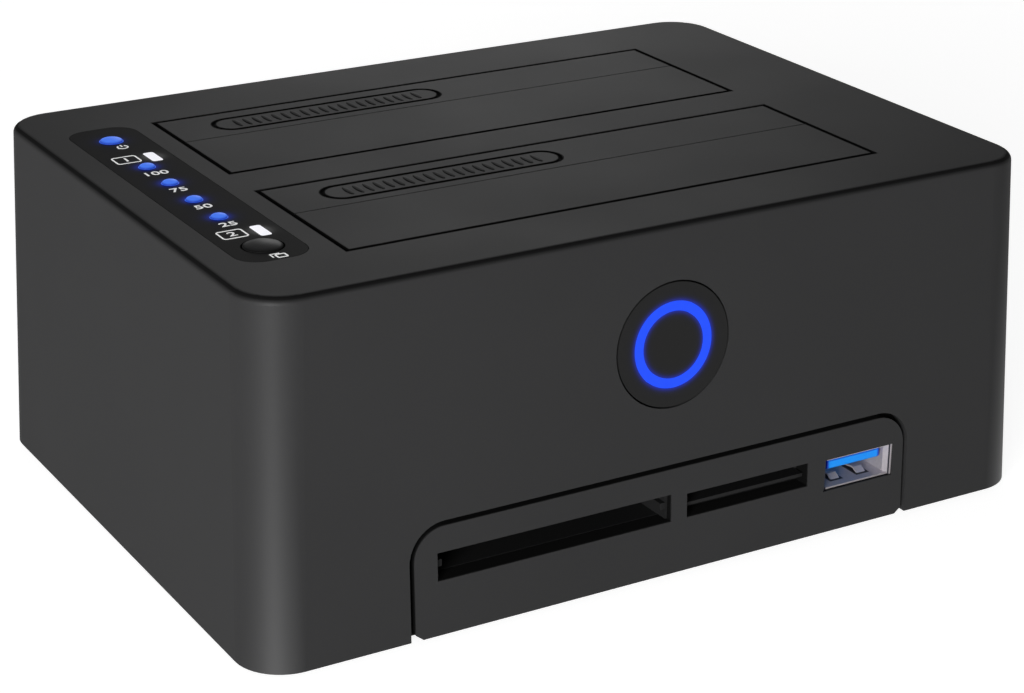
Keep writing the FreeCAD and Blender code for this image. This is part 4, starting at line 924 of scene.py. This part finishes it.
def wire_along(p, paths):
    """Round wire along curves, closed at its ends."""
    profile = p.node("GeometryNodeCurvePrimitiveCircle", {"mode": "RADIUS"},
                     {"Resolution": 10, "Radius": p.sizes["Wire"]})
    path = p.node("GeometryNodeJoinGeometry", None, {0: paths})
    return p.node("GeometryNodeCurveToMesh", None,
                  {"Curve": path, "Profile Curve": profile, "Fill Caps": True})


def straight(p, start, end):
    """Straight curve between two points."""
    return p.node("GeometryNodeCurvePrimitiveLine", {"mode": "POINTS"}, {"Start": start, "End": end})


def coil_pattern():
    """Coil along Z whose wire comes in along Y at its start."""
    p = Pattern("spring_coil", spring_steel, Radius=COIL_RADIUS, Wire=WIRE, Turns=3.25,
                Rise=COIL_RISE, Leg=0.006)
    radius = p.sizes["Radius"]
    coil = p.node("GeometryNodeCurveSpiral", None,
                  {"Resolution": 28, "Rotations": p.sizes["Turns"], "Start Radius": radius,
                   "End Radius": radius, "Height": p.sizes["Rise"]})
    leg = straight(p, p.vector(radius, 0.0, 0.0), p.vector(radius, 0.0 - p.sizes["Leg"], 0.0))
    return p.end(wire_along(p, [coil, leg]), True)


def leg_pattern():
    """Straight leg that leaves the coil's far end along X."""
    p = Pattern("spring_leg", spring_steel, Radius=COIL_RADIUS, Wire=WIRE, Rise=COIL_RISE, Leg=0.008)
    radius, rise = p.sizes["Radius"], p.sizes["Rise"]
    leg = straight(p, p.vector(0.0, radius, rise), p.vector(0.0 - p.sizes["Leg"], radius, rise))
    return p.end(wire_along(p, [leg]), True)


coil_tree = coil_pattern()
leg_tree = leg_pattern()
print("spring wire in mm:", 2000 * WIRE, "round a", 2000 * COIL_RADIUS, "coil")


# %% [markdown]
# ## Springs on their pins
#
# The trees draw a coil along Z. One matrix turns it onto the hinge pin, which lies along X, and
# moves it there. The coil stays on the case. The leg under the lid is a piece of its own, because
# it turns with the lid. A spring that winds up would need its shape changed at each pose.

# %% Coils and legs
ALONG_PIN = Matrix(((0, 0, 1, 0), (1, 0, 0, 0), (0, 1, 0, 0), (0, 0, 0, 1)))
SPRING_INSET = 0.00025


def spring_part(kind, which, tree, place, body):
    """Part of a lid's spring, grown in its place on a body."""
    name = f"spring_{kind}_{which}"
    return piece(name, tree.grow(name, [(0, 0, 0)], place=place), body)


for which in LIDS:
    pin = middle(f"hinge_pin_{which}")
    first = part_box(f"flap_spring_{which}")[0].x + SPRING_INSET
    place = Matrix.Translation((first, pin.y, pin.z)) @ ALONG_PIN
    coil = spring_part("coil", which, coil_tree, place, "case")
    leg = spring_part("leg", which, leg_tree, place, f"{which}_flap")
    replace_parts(coil, f"flap_spring_{which}")
    print(which, "spring:", len(coil.data.vertices), "and", len(leg.data.vertices), "points")


# %% [markdown]
# ## Cover screws
#
# Four screws hold the base from below. Each has a low domed head with a cross recess. The head is a
# disc whose outer rings are lifted by the square of their distance from the middle, and the recess
# is cut by two bars. One head by hand is quick too, but the tree keeps its sizes as numbers.

# %% The screw
def raised(p, shape, height):
    """Shape moved up by a height."""
    return p.node("GeometryNodeTransform", None,
                  {"Geometry": shape, "Translation": p.vector(0.0, 0.0, height)})


def screw_head(p):
    """Domed disc with its cross recess, centred on its own height."""
    s = p.sizes
    head = p.node("GeometryNodeMeshCylinder", {"fill_type": "TRIANGLE_FAN"},
                  {"Vertices": 40, "Side Segments": 2, "Fill Segments": 5,
                   "Radius": s["Head"], "Depth": s["Height"]})
    x, y, z = p.parts(p.node("GeometryNodeInputPosition"))
    lift = (z < 0.0) * (x * x + y * y) / (s["Head"] * s["Head"]) * s["Dome"]
    domed = p.node("GeometryNodeSetPosition", None, {"Geometry": head, "Offset": p.vector(0.0, 0.0, lift)})
    bars = [raised(p, p.node("GeometryNodeMeshCube", None, {"Size": p.vector(a, b, s["Depth"])}),
                   s["Height"] * -0.5)
            for a, b in ((s["Reach"], s["Slot"]), (s["Slot"], s["Reach"]))]
    return p.node("GeometryNodeMeshBoolean", {"operation": "DIFFERENCE", "solver": "EXACT"},
                  {"Mesh 1": domed, "Mesh 2": bars})


def screw_pattern():
    """Screw with its head down, on every start point."""
    p = Pattern("cover_screw", screw_steel, Head=0.00248, Height=0.0011, Dome=0.0004, Shank=0.0012,
                Length=0.009, Reach=0.00275, Slot=0.0007, Depth=0.0007)
    s = p.sizes
    shank = p.node("GeometryNodeMeshCylinder", None,
                   {"Vertices": 24, "Radius": s["Shank"], "Depth": s["Length"]})
    shank = raised(p, shank, (s["Height"] + s["Length"]) * 0.5)
    whole = raised(p, p.node("GeometryNodeJoinGeometry", None, {0: [screw_head(p), shank]}),
                   s["Height"] * 0.5)
    return p.end(p.copies(whole, p.start), False)


screw_tree = screw_pattern()
print("screw tree:", len(screw_tree.tree.nodes), "nodes")


# %% [markdown]
# ## Screws in their places
#
# The CAD holds all four screws in one node, so their places are read from it: each quarter of the
# base has one screw, and its lowest middle point is where the head starts. The new screws then
# stand in for the whole node.

# %% Cover screws
def corners(node):
    """Lowest middle point of each of a node's four corner pieces."""
    points = [v.co for v in nodes[node].data.vertices]
    found = []
    for side, end in ((-1, -1), (1, -1), (1, 1), (-1, 1)):
        near = [p for p in points if p.x * side > 0 and p.y * end > 0]
        spans = [(min(p[i] for p in near), max(p[i] for p in near)) for i in range(3)]
        found.append((sum(spans[0]) / 2, sum(spans[1]) / 2, spans[2][0]))
    return found


screw_mesh = screw_tree.grow("cover_screws", corners("base_screws"))
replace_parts(piece("cover_screws", screw_mesh, "case"), "base_screws")
print("cover screws:", len(screw_mesh.polygons), "faces")


# %% [markdown]
# ## Lens caps
#
# The blue lights end in low clear domes that stand a little above the film, so they are seen from
# the side too. A dome is the upper part of a flattened ball, which is simpler than a turned
# profile and as smooth. One tree sets it on the four places of the scale, and again, larger, on the
# power light.

# %% Domes on the blue lenses
SCALE_DOME = 0.0014
POWER_DOME = 0.0020


def dome_pattern():
    """Flattened ball, half sunk, on every start point."""
    p = Pattern("lens_dome", lens_cap, Radius=SCALE_DOME, Rise=LENS_RISE)
    s = p.sizes
    ball = p.node("GeometryNodeMeshUVSphere", None, {"Segments": 40, "Rings": 24, "Radius": 1.0})
    return p.end(p.copies(ball, p.start, p.vector(s["Radius"], s["Radius"], s["Rise"])), True)


dome_tree = dome_pattern()
for name, lenses, radius in (("progress_domes", BLUE_LENSES[1:], SCALE_DOME),
                             ("power_dome", BLUE_LENSES[:1], POWER_DOME)):
    places = [(middle(n).x, middle(n).y, STRIP_TOP) for n in lenses]
    piece(name, dome_tree.grow(name, places, Radius=radius), "case")
    print(name, len(places))


# %% [markdown]
# ## Ribs on the lids
#
# Inside the round-ended outline each lid has a plain row of short ribs as a finger grip. A rib is a
# flattened ball, half sunk into the lid, so its ends run out softly, as a mould's milled grooves
# do. The row is made once by a line of points, and set on both lids.

# %% Rib rows
def rib_pattern():
    """Row of ribs along X, on every start point."""
    p = Pattern("label_ribs", rib_plastic, Count=20, Pitch=0.0019, Width=0.0011, Length=0.0042, Rise=0.00018)
    s = p.sizes
    first = p.vector((s["Count"] - 1.0) * s["Pitch"] * -0.5, 0.0, 0.0)
    step = p.vector(s["Pitch"], 0.0, 0.0)
    row = p.node("GeometryNodeMeshLine", {"mode": "OFFSET"},
                 {"Count": s["Count"], "Start Location": first, "Offset": step})
    ball = p.node("GeometryNodeMeshUVSphere", None, {"Segments": 20, "Rings": 10, "Radius": 1.0})
    ribs = p.copies(ball, row, p.vector(s["Width"] * 0.5, s["Length"] * 0.5, s["Rise"]))
    return p.end(p.copies(ribs, p.start), True)


rib_tree = rib_pattern()
for which in LIDS:
    row = rib_tree.grow(f"grip_ribs_{which}", [label_centre(which)])
    piece(f"grip_ribs_{which}", row, f"{which}_flap")
    print(which, "ribs:", len(row.polygons), "faces")


# %% [markdown]
# ## Numbers and marks on the strip
#
# The strip carries a scale: how much of a copy is done. Each lens of the scale has its number
# below it, printed in white. Each drive light has a small outlined drive with its number, and the
# power light and the copy button have a plain mark. An image texture would blur up close. Printed
# ink is a hair above the film, so a number is a flat text turned into a thin mesh.

# %% Printed ink
INK_THICKNESS = 0.00003
INK_SPREAD = 0.00003
NUMBER_SIZE = 0.0026
NUMBER_STRETCH = 1.2


def ink_finish():
    """White screen-printed ink, slightly uneven, with a faint painted glow."""
    f = material("white_ink")
    spots = f.noise(0.0002)
    # painted light: a faint glow, grey(0.35), keeps the ink bright
    return f.surface(Base_Color=f.mix(spots, grey(0.62), grey(0.85)), Roughness=0.5 + 0.1 * spots,
                     Emission_Color=grey(0.35), Emission_Strength=1.0)


INK = ink_finish()
print("ink:", 1000 * INK_THICKNESS, "mm thick")


# %% [markdown]
# ## The numbers
#
# The numbers are set in Blender's own font, stretched a little sideways, and spread by a hair as
# ink spreads. Each is centred on a place a few millimetres below its lens.

# %% Numbers
SCALE_NUMBER = (-0.0001, -0.0040)


def printed(name, number, x, y):
    """Thin raised number that lies on the strip, read from the front."""
    curve = bpy.data.curves.new(name, "FONT")
    curve.body = str(number)
    curve.size = NUMBER_SIZE
    curve.offset = INK_SPREAD
    curve.extrude = INK_THICKNESS / 2
    curve.align_x = "CENTER"
    curve.align_y = "CENTER"
    mesh = plain_mesh(linked(name + "_draft", curve))
    lift = Matrix.Translation((x, y, STRIP_TOP + INK_THICKNESS / 2))
    mesh.transform(lift @ Matrix.Diagonal((NUMBER_STRETCH, 1.0, 1.0, 1.0)))
    mesh.materials.clear()
    mesh.materials.append(INK)
    return piece(name, mesh, "case")


for percent in SCALE:
    lens = middle(f"progress_lens_{percent}")
    printed(f"number_{percent}", percent, lens.x + SCALE_NUMBER[0], lens.y + SCALE_NUMBER[1])
print("scale:", SCALE)


# %% [markdown]
# ## Lines of a mark
#
# A mark is a few lines of even width. A flat nib that follows a path gives just that, and keeps its
# width round every bend, so the tree turns edges into a curve and sweeps a thin rectangle along it.

# %% The nib and its paths
LINE_WIDTH = 0.0003


def mark_pattern():
    """Flat printed line along the start's edges."""
    p = Pattern("printed_line", INK, Width=LINE_WIDTH, Thickness=INK_THICKNESS)
    path = p.node("GeometryNodeMeshToCurve", None, {"Mesh": p.start})
    path = p.node("GeometryNodeSetCurveNormal", {"mode": "Z_UP"}, {"Curve": path})
    nib = p.node("GeometryNodeCurvePrimitiveQuadrilateral", {"mode": "RECTANGLE"},
                 {"Width": p.sizes["Width"], "Height": p.sizes["Thickness"]})
    return p.end(p.node("GeometryNodeCurveToMesh", None,
                        {"Curve": path, "Profile Curve": nib, "Fill Caps": True}), False)


mark_tree = mark_pattern()
print("nib:", 1000 * LINE_WIDTH, "mm wide")


def arc(x, y, radius, start, end, steps=20):
    """Points of an arc, with its angles in degrees."""
    angles = [math.radians(start + (end - start) * i / steps) for i in range(steps + 1)]
    return [(x + radius * math.cos(a), y + radius * math.sin(a)) for a in angles]


def round_rectangle(x, y, width, height, corner):
    """Points round a rectangle with round corners, back to its start."""
    loop = []
    for turn, (side, end) in enumerate(((1, 1), (-1, 1), (-1, -1), (1, -1))):
        loop += arc(x + side * (width / 2 - corner), y + end * (height / 2 - corner), corner,
                    90 * turn, 90 * turn + 90, 5)
    return loop + loop[:1]


def mark(name, paths, x, y):
    """Printed mark of one or more paths round a place on the strip."""
    points = []
    edges = []
    for path in paths:
        first = len(points)
        points += [(x + a, y + b, STRIP_TOP + INK_THICKNESS / 2) for a, b in path]
        edges += [(i, i + 1) for i in range(first, len(points) - 1)]
    mesh = mark_tree.grow(name, points, edges)
    piece(name, mesh, "case")
    print(name, "has", len(mesh.polygons), "faces")


# %% [markdown]
# ## Marks in their places
#
# Three plain marks say what each light or button is for: a broken ring with a stroke for power, an
# outlined drive with its number, and two squares, one behind the other, for a copy. Each is placed
# from its own lens or button, so it stays beside it.

# %% Marks
POWER_PATHS = [arc(0.0, 0.0, 0.0009, 125, 415), [(0.0, 0.0002), (0.0, 0.0012)]]
DRIVE_PATHS = [round_rectangle(0.0, 0.0, 0.0042, 0.0036, 0.0005)]
COPY_PATHS = [[(-0.0011, -0.0005), (-0.0011, 0.0009), (0.0005, 0.0009)],
              round_rectangle(0.0004, -0.0002, 0.0016, 0.0014, 0.0002)]

lens = middle("power_lens")
mark("mark_power", POWER_PATHS, lens.x + 0.0004, lens.y - 0.0042)
for bay, lens_name in enumerate(WHITE_LENSES, start=1):
    lens = middle(lens_name)
    x, y = lens.x - 0.0047, lens.y + 0.0004
    mark(f"mark_drive_{bay}", DRIVE_PATHS, x, y)
    printed(f"number_drive_{bay}", bay, x, y)
button = middle("clone_button")
mark("mark_copy", COPY_PATHS, button.x + 0.0003, button.y - 0.0051)


# %% [markdown]
# ## Floor
#
# The object stands on a flat pale floor. A bright lamp on a white floor would wash out the case too,
# so the floor glows for the camera, less so in reflections, and still takes the case's shadow.

# %% The floor
FLOOR_RADIUS = 12.0
FLOOR_SIDES = 64
FLOOR_IN_VIEW = 0.85
FLOOR_REFLECTED = 0.4


def floor_finish():
    """Pale floor that the camera sees as white where it is lit."""
    f = material("studio_floor")
    paint = f.noise(0.05)
    glow = f.rays("Camera") * FLOOR_IN_VIEW + f.rays("Glossy", "Transmission") * FLOOR_REFLECTED
    return f.surface(Base_Color=f.mix(paint, grey(0.48), grey(0.5)), Roughness=0.9,
                     Emission_Color=f.mix(glow, grey(0.0), grey(1.0)), Emission_Strength=1.0)


form = bmesh.new()
bmesh.ops.create_circle(form, cap_ends=True, segments=FLOOR_SIDES, radius=FLOOR_RADIUS)
floor_mesh = bpy.data.meshes.new("studio_floor")
form.to_mesh(floor_mesh)
form.free()
floor_mesh.materials.append(floor_finish())
linked("studio_floor", floor_mesh)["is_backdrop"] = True
print("floor:", len(floor_mesh.vertices), "points")


# %% [markdown]
# ## Lamps
#
# Black plastic shows its shape by soft reflections, so the lamps are large and low. One broad lamp
# stands in front of the near corner and lights both visible sides, and a weak one behind puts a
# sheen on the back of the top. One overhead lamp would leave the sides flat.

# %% Lamps
CENTRE = (cad_box[0] + cad_box[1]) / 2


def lamp(name, place, size, power):
    """Square soft lamp at a place, turned to the middle of the object."""
    light = bpy.data.lights.new(name, "AREA")
    light.shape = "SQUARE"
    light.size = size
    light.energy = power
    made = linked(name, light)
    made.location = place
    made.rotation_euler = (CENTRE - Vector(place)).to_track_quat("-Z", "Y").to_euler()
    return made


lamps = [lamp("lamp_corner", (-0.75, -0.75, 0.2), size=0.4, power=13.5),
         lamp("lamp_back", (0.45, 0.8, 0.4), size=0.3, power=0.88)]
print("lamps:", [made.name for made in lamps])


# %% [markdown]
# ## Sky
#
# The sky is white to the camera, a pale band in reflections and dim for everything else. A sky that
# is white all round is simpler, but it would fill the shadows and grey the black plastic.

# %% The sky
BAND_SHARPNESS = 3.0
BAND_LEVEL = 0.6
SKY_LEVEL = 0.12


def studio_world():
    """White for the camera, a pale band in reflections, and dim for the rest."""
    world = bpy.data.worlds.new("studio_world")
    f = Finish(world, coordinates="Generated")
    band = 1.0 - (f.z.absolute() * BAND_SHARPNESS).clamped()
    level = f.rays("Camera") + f.rays("Glossy", "Transmission") * band * BAND_LEVEL + SKY_LEVEL
    background = f.node("ShaderNodeBackground", None, {"Color": grey(1.0), "Strength": level.clamped()})
    f.node("ShaderNodeOutputWorld", None, {"Surface": background})
    return world


bpy.context.scene.world = studio_world()
print("sky:", bpy.context.scene.world.name)


# %% [markdown]
# ## Camera
#
# The camera stands to the left and in front, a little above the case, and looks down by 22
# degrees. A long lens keeps the edges nearly parallel. A short lens close by would make the near
# corner loom. The view transform is Standard, so that a finish's colour comes out as it was set.

# %% The camera
CAMERA_PLACE = Vector((-0.21654, -0.37188, 0.19683))
CAMERA_TARGET = Vector((-0.00164, -0.00252, 0.02417))
CAMERA_ROLL = math.radians(0.355)
camera_data = bpy.data.cameras.new("camera")
camera_data.lens = 89.76
camera_data.sensor_width = 36.0
camera_data.shift_x = 0.0080
camera_data.shift_y = -0.0007
camera = linked("camera", camera_data)
aim = (CAMERA_TARGET - CAMERA_PLACE).to_track_quat("-Z", "Y").to_matrix().to_4x4()
camera.matrix_world = Matrix.Translation(CAMERA_PLACE) @ aim @ Matrix.Rotation(CAMERA_ROLL, 4, "Z")
bpy.context.scene.camera = camera
bpy.context.scene.view_settings.view_transform = "Standard"
print("camera at", [round(c, 3) for c in camera.location], "lens", camera_data.lens)


# %% [markdown]
# ## Finish
#
# The last cell prints how far each corner of the dressed box lies from the CAD box, so that a
# piece that sticks out is seen at once.

# %% Print how far the corners moved
dressed_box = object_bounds()
for before, after in zip(cad_box, dressed_box):
    print("corner moved by mm:", [round(1000 * v, 3) for v in after - before])
